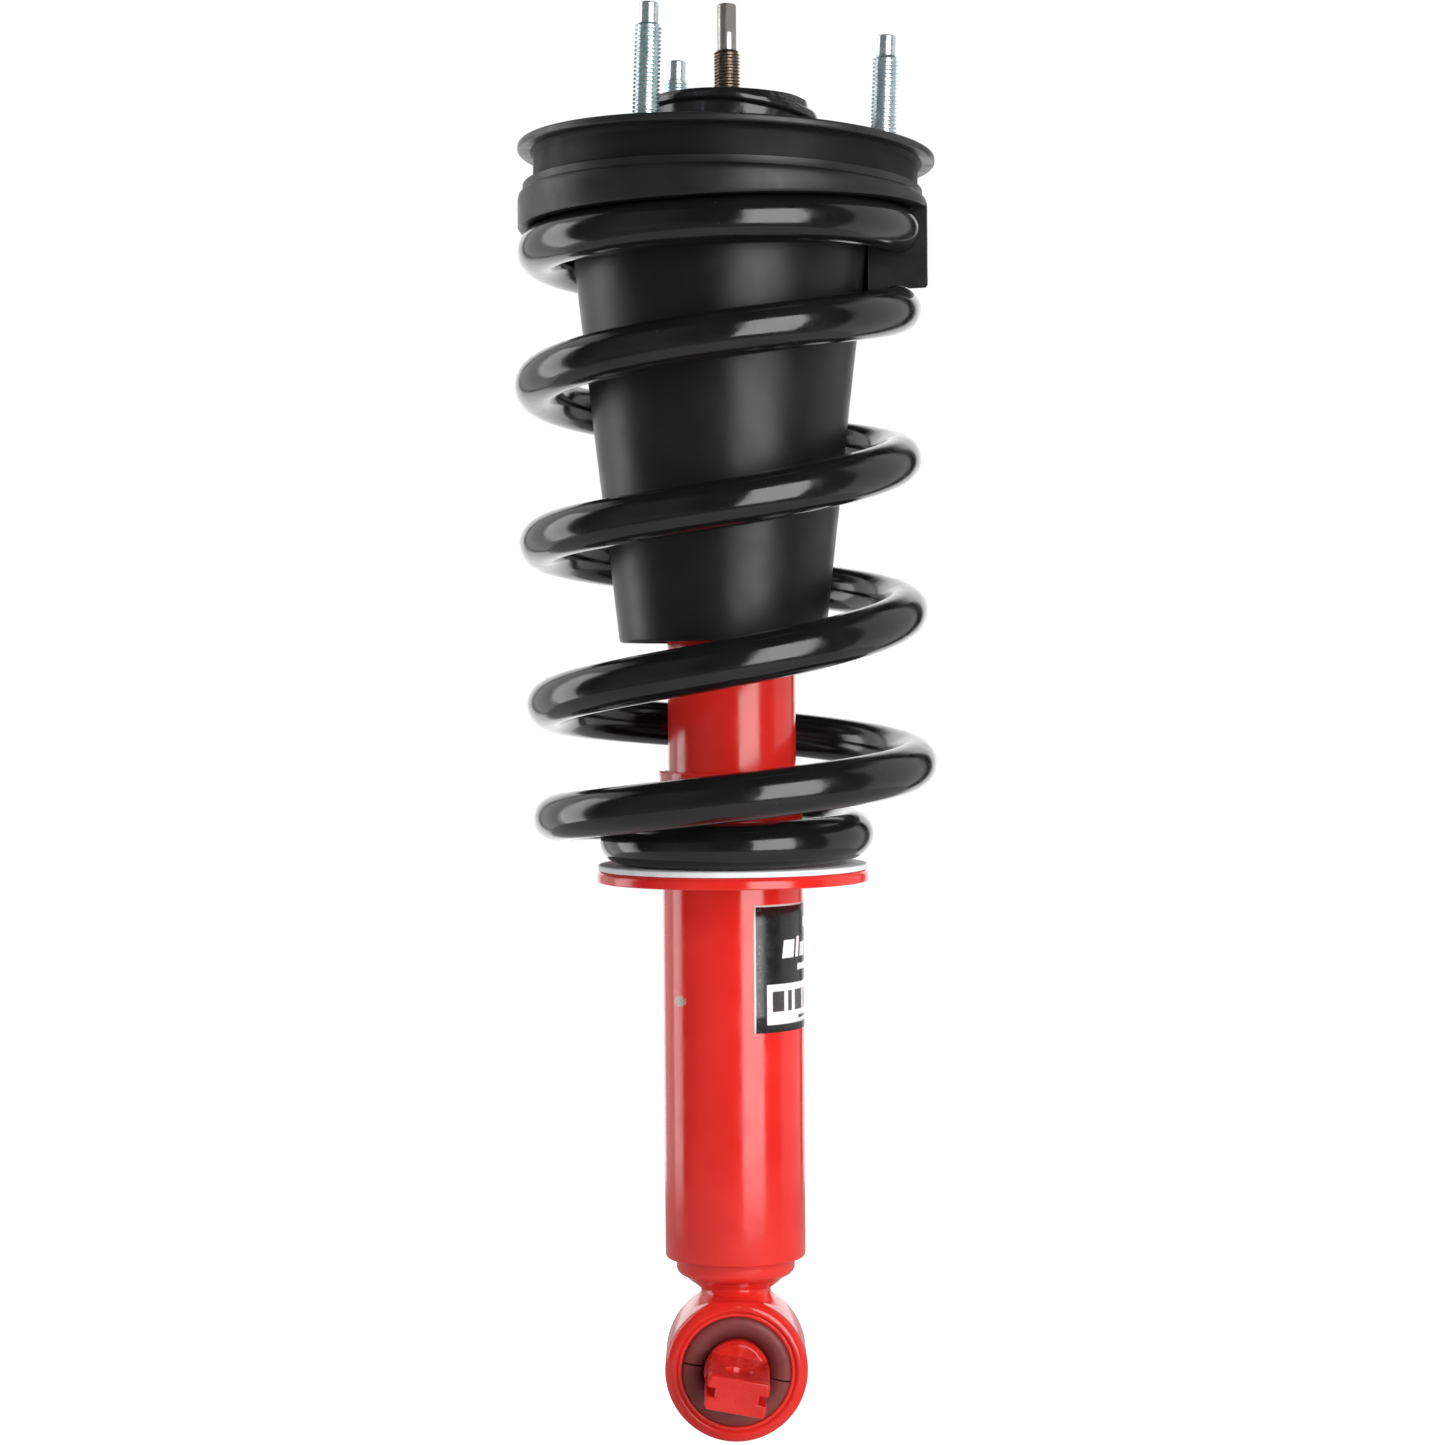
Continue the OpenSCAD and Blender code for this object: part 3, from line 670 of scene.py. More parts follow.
    def move(self, shift: Corner = (0, 0, 0), tilt: float = 0.0, turned: float = 0.0) -> None:
        """Turns the piece about Z, tilts it about Y and then moves it; angles are in degrees."""
        matrix = (Matrix.Translation(shift) @ Matrix.Rotation(math.radians(tilt), 4, "Y")
                  @ Matrix.Rotation(math.radians(turned), 4, "Z"))
        bmesh.ops.transform(self.bm, matrix=matrix, verts=list(self.bm.verts))

    def push(self, shift: Callable[[Vector], Vector]) -> None:
        """Moves each vertex by what a function of its place says."""
        for vert in self.bm.verts:
            vert.co += shift(vert.co.copy())

    def carve(self, cutters: Sequence["Workpiece"]) -> None:
        """Cuts other pieces out of this one."""
        target = self.as_object()
        tools = []
        for cutter in cutters:
            tool = cutter.as_object()
            tools.append(tool)
            step = target.modifiers.new("carve", "BOOLEAN")
            step.operation, step.object, step.solver = "DIFFERENCE", tool, "EXACT"
        graph = bpy.context.evaluated_depsgraph_get()
        graph.update()
        mesh = bpy.data.meshes.new_from_object(target.evaluated_get(graph))
        self.bm = bmesh.new()
        self.bm.from_mesh(mesh)
        bpy.data.meshes.remove(mesh)
        for spare in [target, *tools]:
            old = spare.data
            bpy.data.objects.remove(spare)
            bpy.data.meshes.remove(old)
        bmesh.ops.scale(self.bm, vec=(1 / MM,) * 3, verts=list(self.bm.verts))

    def as_object(self) -> bpy.types.Object:
        """Makes the object, in metres, and drops the bmesh."""
        bmesh.ops.scale(self.bm, vec=(MM, MM, MM), verts=list(self.bm.verts))
        mesh = bpy.data.meshes.new(self.name)
        self.bm.to_mesh(mesh)
        self.bm.free()
        obj = bpy.data.objects.new(self.name, mesh)
        bpy.context.scene.collection.objects.link(obj)
        return obj

    def finish(self, material: bpy.types.Material, body: Body, slot: str, stands_for: Sequence[str],
               crease: float = 32.0, edge: float = 0.0) -> bpy.types.Object:
        """Hands the piece to the frame.

        Args:
            material: Its finish.
            body: The body that it rides on.
            slot: The record's slot of its finish; not used.
            stands_for: The CAD nodes that it replaces.
            crease: The angle past which an edge is sharp, in degrees.
            edge: The width of a small bevel on sharp edges, in millimetres.

        Returns:
            The object.
        """
        obj = self.as_object()
        obj.data.materials.append(material)
        obj.data.shade_smooth()
        obj.data.set_sharp_from_angle(angle=math.radians(crease))
        if edge:
            bevel = obj.modifiers.new("edges", "BEVEL")
            bevel.width, bevel.segments, bevel.limit_method = edge * MM, 2, "ANGLE"
            bevel.angle_limit = math.radians(crease)
            bevel.harden_normals = False
        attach(obj, body.value)
        if stands_for:
            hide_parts(*stands_for)
        log.info("%s: %d faces, rides on %s", obj.name, len(obj.data.polygons), body.value)
        return obj


# ---- Lower eye and bar pin


@dataclass
class LowerEye:
    """The painted eye with its weld neck, the bushing's shell and the rubber in it."""

    finishes: Finishes
    pin_turn: float = 10.5
    rings: int = 18

    def __post_init__(self) -> None:
        """Takes the sizes from the frame."""
        high, rubber_high = node_span("lower_eye")[1], node_span("eye_bushing")[1]
        self.radius, self.half, self.cup_z = high.x, high.y, high.z
        self.bore = node_span("bushing_shell")[1].x
        self.rubber_radius, self.rubber_half = rubber_high.x, rubber_high.y
        self.pin_radius = node_span("bar_pin")[1].z

    def build(self) -> None:
        """Builds the eye's three pieces."""
        self.eye()
        self.shell()
        self.rubber()

    def eye(self) -> None:
        """Turns the eye and pulls the weld neck up from its crown."""
        piece = Workpiece("Lower_Eye")
        r, h = self.radius, self.half
        piece.turn([(self.bore, -h + 0.6, 0.25), (self.bore + 0.9, -h, 0.3), (r - 2.6, -h, 1.0),
                    (r, -h + 2.6, 1.2), (r, h - 2.6, 1.2), (r - 2.6, h, 1.0),
                    (self.bore + 0.9, h, 0.3), (self.bore, h - 0.6, 0.25)], 128, Axis.Y)
        neck = bmesh.new()
        waist, foot, top = 13.4, 17.8, self.cup_z + 0.4
        heights = [i / self.rings for i in range(self.rings + 1)]
        bmesh.ops.create_circle(neck, cap_ends=False, radius=1.0, segments=72)
        rows = [list(neck.verts)]
        edges = list(neck.edges)
        for _ in heights[1:]:
            made = bmesh.ops.extrude_edge_only(neck, edges=edges)["geom"]
            rows.append([v for v in made if isinstance(v, bmesh.types.BMVert)])
            edges = [e for e in made if isinstance(e, bmesh.types.BMEdge)
                     and all(v in rows[-1] for v in e.verts)]
        for share, row in zip(heights, rows):
            for vert in row:
                turn = math.atan2(vert.co.y, vert.co.x)
                flare = max(0.0, 1 - share * 1.9) ** 2 * (foot - waist)
                flare += max(0.0, share - 0.52) ** 1.3 * 15.6
                radius = waist + flare
                x, y = radius * math.cos(turn), radius * math.sin(turn)
                crown = math.sqrt(max(r * r - x * x, 0.0)) - 0.35
                rise = share ** 1.15
                vert.co = (x, y, crown * (1 - rise) + top * rise)
        bmesh.ops.recalc_face_normals(neck, faces=list(neck.faces))
        piece.join(neck)
        piece.push(lambda p: Vector((0, 0, 0)) if p.z < 24 else Vector((
            0.25 * noise.noise(p * 0.21), 0.25 * noise.noise(p * 0.21 + Vector((9, 0, 0))), 0)))
        piece.finish(self.finishes["red_paint"], Body.TUBE, "red_paint", ["lower_eye"])

    def shell(self) -> None:
        """Turns the bushing's steel shell, set back a little from the eye's face."""
        piece = Workpiece("Bushing_Shell")
        r, inner, h = self.bore, self.rubber_radius, self.half - 0.5
        piece.turn([(inner, -h, 0.5), (r - 0.02, -h, 0.3), (r - 0.02, h, 0.3), (inner, h, 0.5)],
                   112, Axis.Y)
        piece.finish(self.finishes["red_paint"], Body.TUBE, "red_paint", ["bushing_shell"])

    def rubber(self) -> None:
        """Turns the rubber, dished round the pin, and cuts its thin relief slits."""
        piece = Workpiece("Eye_Bushing")
        r, inner, h = self.rubber_radius, self.pin_radius + 0.05, self.rubber_half
        corners: list[Corner] = [(r, h - 2.0, 0.3), (r - 0.7, h - 0.9, 0.4), (r - 2.2, h - 0.3, 0.7),
                                 (inner + 3.4, h - 0.4, 1.0), (inner + 1.2, h - 1.3, 0.8),
                                 (inner, h - 2.6, 0.4)]
        mirrored = [(c[0], -c[1], c[2]) for c in reversed(corners)]
        piece.turn([*corners, *mirrored], 112, Axis.Y)
        cutters = []
        for side in (-1, 1):
            for end in (-1, 1):
                cutter = Workpiece("cutter")
                x0, x1 = sorted((side * (inner + 0.8), side * (r - 0.4)))
                cutter.prism([(x0, -0.35), (x1, -0.35), (x1, 0.35), (x0, 0.35)],
                             end * h - 3, end * h + 3)
                cutter.move(tilt=self.pin_turn)
                cutters.append(cutter)
        piece.carve(cutters)
        piece.finish(self.finishes["bushing_rubber"], Body.TUBE, "bushing_rubber", ["eye_bushing"])


@dataclass
class BarPin:
    """The bar pin: a round barrel between two flat, drilled tongues."""

    finishes: Finishes
    turned: float = 10.5
    barrel: float = 44.0
    width: float = 22.8
    thick: float = 13.0
    hole: float = 10.5
    hole_gap: float = 86.0
    groove: float = 3.3
    groove_height: float = 3.7

    def outline(self, radius: float) -> list[tuple[float, float]]:
        """Returns the tongue's outline: a circle with flats and a groove in each side."""
        half_w, half_t, half_g = self.width / 2, self.thick / 2, self.groove_height / 2
        top_x = math.sqrt(radius ** 2 - half_t ** 2)
        side_z = math.sqrt(radius ** 2 - half_w ** 2)
        start, end = math.atan2(side_z, half_w), math.atan2(half_t, top_x)
        arc = [(radius * math.cos(a), radius * math.sin(a))
               for a in (start + (end - start) * i / 4 for i in range(5))]
        notch = [(half_w, half_g), (half_w - self.groove, half_g)]
        quarter = [(x, z) for x, z in reversed(notch)] + arc
        upper = quarter + [(-x, z) for x, z in reversed(quarter)]
        return upper + [(-x, -z) for x, z in upper]

    def build(self) -> None:
        """Builds the pin."""
        low, high = node_span("bar_pin")
        radius = high.z
        piece = Workpiece("Bar_Pin")
        half = self.barrel / 2
        piece.turn([(0, -half, 0), (radius - 1.7, -half, 0.4), (radius, -half + 1.5, 0.5),
                    (radius, half - 1.5, 0.5), (radius - 1.7, half, 0.4), (0, half, 0)], 72, Axis.Y)
        tongue = Workpiece("cutter")
        tongue.prism(self.outline(radius), low.y, high.y, 0.7)
        drills = []
        for side in (-1, 1):
            drill = Workpiece("cutter")
            drill.turn([(0, -radius, 0), (self.hole / 2 + 3.3, -radius, 0),
                        (self.hole / 2, -self.thick / 2 + 0.5, 0),
                        (self.hole / 2, self.thick / 2 - 0.5, 0),
                        (self.hole / 2 + 3.3, radius, 0), (0, radius, 0)], 48)
            drill.move((0, side * self.hole_gap / 2, 0))
            drills.append(drill)
        tongue.carve(drills)
        piece.join(tongue.bm)
        piece.push(lambda p: 0.16 * noise.noise_vector(p * 0.35) if abs(p.y) < half + 1 else Vector())
        piece.move(tilt=self.turned)
        piece.finish(self.finishes["pin_paint"], Body.PIN, "pin_paint", ["bar_pin"], 28, 0.25)


# ---- Damper tube and spring seat


@dataclass
class DamperTube:
    """The outer tube, the rolled sleeve on it, the base cup and the label."""

    finishes: Finishes
    seam: float = 2.0
    wall_rows: int = 14
    flare: float = 1.5
    flare_reach: float = 0.42
    flare_depth: float = 7.0
    wave_depth: float = 3.5
    label_start: float = -74.0
    label_sweep: float = 110.0
    label_lift: tuple[float, float] = (3.4, 0.8)
    label_thick: float = 0.15

    def __post_init__(self) -> None:
        """Takes the sizes from the frame."""
        tube_low, tube_high = node_span("outer_tube")
        sleeve_high = node_span("seat_sleeve")[1]
        self.tube_radius, self.tube_low, self.tube_top = tube_high.x, tube_low.z, tube_high.z
        self.sleeve_radius, self.sleeve_top = sleeve_high.x, sleeve_high.z
        self.cup_low, self.cup_top = (corner.z for corner in node_span("base_cup"))
        self.bore = node_span("base_cup")[1].x

    def build(self) -> None:
        """Builds the tube's pieces."""
        self.tube()
        self.sleeve()
        self.base_cup()
        self.label()

    def tube(self) -> None:
        """Turns the outer tube."""
        piece = Workpiece("Outer_Tube")
        r, low, top = self.tube_radius, self.tube_low, self.tube_top
        piece.turn([(self.bore, low, 0.2), (r, low, 0.3), (r, (low + top) / 2, 0), (r, top, 0.4),
                    (self.bore, top, 0.3)], 128)
        piece.finish(self.finishes["red_paint"], Body.TUBE, "red_paint", ["outer_tube"])

    def sleeve(self) -> None:
        """Rolls the sleeve round the tube, its seam open and its upper corner sprung out."""
        piece = Workpiece("Seat_Sleeve")
        inner, outer = self.tube_radius + 0.02, self.sleeve_radius
        low, top = self.tube_low, self.sleeve_top
        gap = self.seam / outer
        rows = self.wall_rows
        wall: list[Corner] = [(outer, low + (top - low) * i / rows, 0.7 if i in (0, rows) else 0)
                              for i in range(rows + 1)]
        piece.turn([(inner, low, 0.3), *wall, (inner, top, 0.3)], 128, angle=FULL_TURN - gap,
                   start=-math.pi + gap / 2)

        def spring_out(p: Vector) -> Vector:
            """Flares the upper corners by the seam and waves the cut lower edge."""
            turn = math.atan2(p.y, p.x)
            near_seam = max(0.0, 1 - (math.pi - abs(turn)) / self.flare_reach)
            near_top = max(0.0, 1 - (top - p.z) / self.flare_depth)
            out = self.flare * near_seam ** 1.5 * near_top ** 1.3
            near_low = max(0.0, 1 - (p.z - low) / self.wave_depth)
            wave = 0.22 * math.sin(3 * turn + 0.6) + 0.16 * math.sin(5 * turn)
            out += 0.16 * near_low * wave
            radial = Vector((p.x, p.y, 0)).normalized()
            return radial * out + Vector((0, 0, near_low * (0.35 + wave)))

        piece.push(spring_out)
        piece.finish(self.finishes["tube_paint"], Body.TUBE, "red_paint", ["seat_sleeve"])

    def base_cup(self) -> None:
        """Turns the pressed cup that closes the tube."""
        piece = Workpiece("Base_Cup")
        r, low, top = self.bore - 0.02, self.cup_low, self.cup_top
        piece.turn([(0, low, 0), (18.6, low, 1.6), (r, low + 2.2, 2.0),
                    (r - 0.1, low + 6.6, 0.6), (r, low + 7.2, 0.4), (r, top, 0.5), (r - 3, top, 0.5),
                    (r - 3, low + 4, 1.5), (0, low + 4, 0)], 112)
        piece.finish(self.finishes["red_paint"], Body.TUBE, "red_paint", ["base_cup"])

    def label(self) -> None:
        """Wraps the label round the sleeve."""
        low, high = node_span("tube_label")
        bottom, top = low.z + self.label_lift[0], high.z + self.label_lift[1]
        piece = Workpiece("Tube_Label")
        r = self.sleeve_radius + 0.03
        bm = piece.bm
        ends = [bm.verts.new((r, 0, z)) for z in (bottom, top)]
        edge = bm.edges.new(ends)
        start, sweep = math.radians(self.label_start), math.radians(self.label_sweep)
        bmesh.ops.rotate(bm, verts=ends, cent=(0, 0, 0), matrix=Matrix.Rotation(start, 3, "Z"))
        bmesh.ops.spin(bm, geom=[*ends, edge], cent=(0, 0, 0), axis=(0, 0, 1), angle=sweep,
                       steps=56, use_merge=False)
        bmesh.ops.subdivide_edges(bm, edges=[e for e in bm.edges
                                             if abs(e.verts[0].co.z - e.verts[1].co.z) > 1], cuts=6)
        bmesh.ops.recalc_face_normals(bm, faces=list(bm.faces))
        first = next(iter(bm.faces))
        if first.normal.dot(first.calc_center_median()) < 0:
            bmesh.ops.reverse_faces(bm, faces=list(bm.faces))
        layer = bm.loops.layers.uv.new("wrap")
        for face in bm.faces:
            for loop in face.loops:
                turn = math.atan2(loop.vert.co.y, loop.vert.co.x) - start
                loop[layer].uv = (turn / sweep, (loop.vert.co.z - bottom) / (top - bottom))
        obj = piece.finish(self.finishes["label"], Body.TUBE, "label", ["tube_label"])
        wall = obj.modifiers.new("thickness", "SOLIDIFY")
        wall.thickness, wall.offset = self.label_thick * MM, 1.0


@dataclass
class SpringSeat:
    """The pressed lower spring seat with its rolled edge, and the nylon ring on it."""

    finishes: Finishes
    sheet: float = 3.0
    edge_height: float = 4.5

    def build(self) -> None:
        """Builds the seat and its ring."""
        low, high = node_span("lower_spring_seat")
        ring_high = node_span("seat_ring")[1]
        sleeve = node_span("seat_sleeve")[1].x
        rim, top, t = high.x, high.z, self.sheet
        under = top - self.edge_height
        seat = Workpiece("Lower_Spring_Seat")
        seat.turn([(sleeve, top, 0.3), (rim, top, 2.2), (rim, under, 0.5), (rim - t + 0.4, under, 0.5),
                   (rim - t - 0.2, top - t, 0.5), (sleeve + 6.5, top - t, 1.2),
                   (sleeve + 2.4, low.z, 1.5), (sleeve, low.z, 0.3)], 144)
        seat.finish(self.finishes["red_paint"], Body.TUBE, "red_paint", ["lower_spring_seat"])
        inner = sleeve + 0.6
        collar = inner + 5.4
        lip = top + 2.2
        ring = Workpiece("Seat_Ring")
        ring.turn([(inner, top, 0.2), (ring_high.x, top, 0.4), (ring_high.x, lip, 0.7),
                   (collar, lip, 0.5), (collar - 0.3, ring_high.z, 1.0), (inner, ring_high.z, 0.6)], 144)
        ring.finish(self.finishes["white_nylon"], Body.TUBE, "white_nylon", ["seat_ring"])


# ---- Coil spring, boot and isolator


@dataclass(frozen=True)
class Helix:
    """The line of the coil spring's wire; turns are counted up from its lower end."""

    wire_radius: float = 8.9
    coil_radius: float = 69.2
    tail_radius: float = 44.0
    turns: float = 5.45
    closed_turns: float = 1.02
    top_turns: float = 0.66
    top_pitch: float = 15.0
    tail_angle: float = -172.0
    lean: float = 1.2
    shift: float = 1.5
    low: float = 201.4
    high: float = 433.6
    low_blend: float = 0.3
    top_blend: float = 0.2
    tail_turns: float = 0.47
    open_turns: float = 0.55
    settle_start: float = 0.228
    settle_z: tuple[float, ...] = (0, 2.2, 5.6, 6.2, 6.4, 1.6, -0.3, -3.2, -3.6, 1.4, 3.6, 0, -4.8,
                                   0.8, 4.5, 1.8, -2.4, -1, 4, 3.2, -0.6, -0.2)
    settle_x: tuple[float, ...] = (0, 0, 0, 0, 0, 0, -0.6, -1.2, -1.5, -1.9, -2.2, -2.4, -2.5, -2.6,
                                   -2.6, -2.6, -2.2, -1.2, -0.6, 0, 0, 0)

    @staticmethod
    def smooth(share: float) -> float:
        """Returns a smooth step from 0 to 1."""
        c = min(max(share, 0.0), 1.0)
        return c * c * (3 - 2 * c)

    @staticmethod
    def ramp(t: float, at: float, width: float) -> float:
        """Returns a ramp that starts softly at a turn."""
        if t < at - width:
            return 0.0
        return t - at if t > at + width else (t - at + width) ** 2 / (4 * width)

    @property
    def pitch(self) -> float:
        """The rise of each open turn."""
        rise = self.high - self.low - self.top_pitch * self.top_turns
        return rise / (self.turns - self.closed_turns - self.top_turns)

    def angle(self, t: float) -> float:
        """Returns the direction of a turn, in radians."""
        return math.radians(self.tail_angle + 360 * t)

    def radius(self, t: float) -> float:
        """Returns the coil's radius at a turn."""
        grown = self.smooth((t - self.tail_turns) / self.open_turns)
        return self.tail_radius + (self.coil_radius - self.tail_radius) * grown

    def settled(self, values: Sequence[float], t: float) -> float:
        """Returns a smooth line through values that stand a quarter turn apart."""
        last = len(values) - 1
        u = min(max((t - self.settle_start) * 4, 0.0), last)
        i = min(int(u), last - 1)
        f = u - i
        a, b, c, d = (values[min(max(k, 0), last)] for k in range(i - 1, i + 3))
        return b + f * (c - a + f * (2 * a - 5 * b + 4 * c - d + f * (3 * (b - c) + d - a))) / 2

    def axis_x(self, z: float) -> float:
        """Returns where the leaning axis stands along X at a height."""
        return self.shift - (z - self.low) * math.tan(math.radians(self.lean))

    def point(self, t: float) -> Vector:
        """Returns the wire's centre at a turn."""
        a, r = self.angle(t), self.radius(t)
        z = (self.low + self.pitch * self.ramp(t, self.closed_turns, self.low_blend)
             - (self.pitch - self.top_pitch) * self.ramp(t, self.turns - self.top_turns, self.top_blend)
             + r * math.cos(a) * math.tan(math.radians(self.lean)) * self.smooth(t - 0.5)
             + self.settled(self.settle_z, t))
        x = self.axis_x(z) + r * math.cos(a) + self.settled(self.settle_x, t)
        return Vector((x, r * math.sin(a), z))

    def keep(self, stroke: float) -> float:
        """Returns the share of the spring's height left after the stroke."""
        return (self.high - self.low - stroke) / (self.high - self.low)


@dataclass
class CoilSpring:
    """The coil spring: a round wire swept along its helix."""

    finishes: Finishes
    helix: Helix
    stroke: float
    steps_per_turn: int = 72
    sides: int = 40
    end_chamfer: float = 0.9
    tail_ratio: float = 0.64

    def sweep(self) -> bpy.types.NodeTree:
        """Returns the node group that sweeps a circle along the wire's line."""
        tree = bpy.data.node_groups.new("wire_sweep", "GeometryNodeTree")
        for way in ("INPUT", "OUTPUT"):
            tree.interface.new_socket("Geometry", in_out=way, socket_type="NodeSocketGeometry")
        start, end = tree.nodes.new("NodeGroupInput"), tree.nodes.new("NodeGroupOutput")
        line = tree.nodes.new("GeometryNodeMeshToCurve")
        circle = tree.nodes.new("GeometryNodeCurvePrimitiveCircle")
        circle.inputs["Resolution"].default_value = self.sides
        circle.inputs["Radius"].default_value = MM
        wire = tree.nodes.new("GeometryNodeCurveToMesh")
        wire.inputs["Fill Caps"].default_value = True
        thick = tree.nodes.new("GeometryNodeInputNamedAttribute")
        thick.data_type = "FLOAT"
        thick.inputs["Name"].default_value = "thick"
        smooth = tree.nodes.new("GeometryNodeSetShadeSmooth")
        paint = tree.nodes.new("GeometryNodeSetMaterial")
        paint.inputs["Material"].default_value = self.finishes["spring_lacquer"]
        link = tree.links.new
        link(start.outputs[0], line.inputs["Mesh"])
        link(line.outputs["Curve"], wire.inputs["Curve"])
        link(circle.outputs["Curve"], wire.inputs["Profile Curve"])
        link(thick.outputs["Attribute"], wire.inputs["Scale"])
        link(wire.outputs["Mesh"], smooth.inputs["Geometry"])
        link(smooth.outputs["Geometry"], paint.inputs["Geometry"])
        link(paint.outputs["Geometry"], end.inputs[0])
        return tree

    def build(self) -> None:
        """Lays the wire's line and sweeps it."""
        helix = self.helix
        piece = Workpiece("Coil_Spring")
        layer = piece.bm.verts.layers.float.new("thick")
        count = math.ceil(helix.turns * self.steps_per_turn)
        trim = self.end_chamfer / (helix.tail_radius * FULL_TURN)
        marks = [(helix.turns * i / count, helix.wire_radius) for i in range(count + 1)]
        slim = helix.wire_radius - self.end_chamfer
        marks[0] = (0.0, slim)
        marks[-1] = (helix.turns, slim)
        marks.insert(1, (trim, helix.wire_radius))
        marks.insert(-1, (helix.turns - trim * self.tail_ratio, helix.wire_radius))
        before = None
        for t, radius in marks:
            vert = piece.bm.verts.new(helix.point(t))
            vert[layer] = radius
            if before is not None:
                piece.bm.edges.new((before, vert))
            before = vert
        obj = piece.finish(self.finishes["spring_lacquer"], Body.MOUNT, "black_coat", ["coil_spring"])
        sweep = obj.modifiers.new("sweep", "NODES")
        sweep.node_group = self.sweep()
        helix.keep(self.stroke)
        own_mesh(obj)


@dataclass
class DustBoot:
    """The rubber boot that hangs from the mount inside the spring."""

    finishes: Finishes
    mount: "MountFrame"
    centre: float
    wall: float = 2.0
    straight: float = 24.0
    low_radius: float = 40.0
    rows: int = 18

    def build(self) -> None:
        """Turns the boot and cuts its top to the mount's tilt."""
        low, high = node_span("dust_boot")
        top_radius = high.x - self.centre
        bend = self.mount.height - self.mount.under - self.straight
        piece = Workpiece("Dust_Boot")
        outer: list[Corner] = [(self.low_radius - 0.4, low.z, 0.9), (self.low_radius, low.z + 2.2, 0.7)]
        for i in range(1, self.rows):
            share = i / self.rows
            outer.append((self.low_radius + (top_radius - self.low_radius) * share,
                          low.z + 2.2 + (bend - low.z - 2.2) * share, 0))
        outer += [(top_radius, bend, 3.0), (top_radius, high.z + 4, 0)]
        inner = [(top_radius - self.wall, high.z + 4, 0.0), (top_radius - self.wall, bend, 3.0),
                 (self.low_radius - self.wall, low.z, 0.5)]
        piece.turn([*outer, *inner], 144, centre=self.centre)
        normal = Vector((math.sin(math.radians(self.mount.tilt)), 0, math.cos(math.radians(self.mount.tilt))))
        point = self.mount.point(-self.mount.under)
        piece.cut(piece.bm, tuple(point), tuple(normal))
        far = Vector((7, 7, 7))
        piece.push(lambda p: 0.35 * Vector((noise.noise(p * 0.018), noise.noise(p * 0.018 + far), 0)))
        obj = piece.finish(self.finishes["boot_rubber"], Body.MOUNT, "black_rubber", ["dust_boot"])
        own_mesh(obj)


@dataclass(frozen=True)
class MountFrame:
    """The tilted frame of the top mount, with its zero on the plate's top face."""

    shift: float = -0.6
    height: float = 466.6
    tilt: float = 2.2
    under: float = 15.4

    def point(self, z: float) -> Vector:
        """Returns the place of a point on the mount's axis."""
        lean = math.radians(self.tilt)
        return Vector((self.shift + z * math.sin(lean), 0, self.height + z * math.cos(lean)))

    def seat(self, x: float) -> float:
        """Returns the height of the cup's underside at a place along X."""
        lean = math.radians(self.tilt)
        return self.height - self.under / math.cos(lean) - (x - self.shift) * math.tan(lean)

    def place(self, piece: Workpiece, turned: float = 0.0) -> None:
        """Moves a piece made upright at the origin into the mount's frame."""
        piece.move((self.shift, 0, self.height), self.tilt, turned)


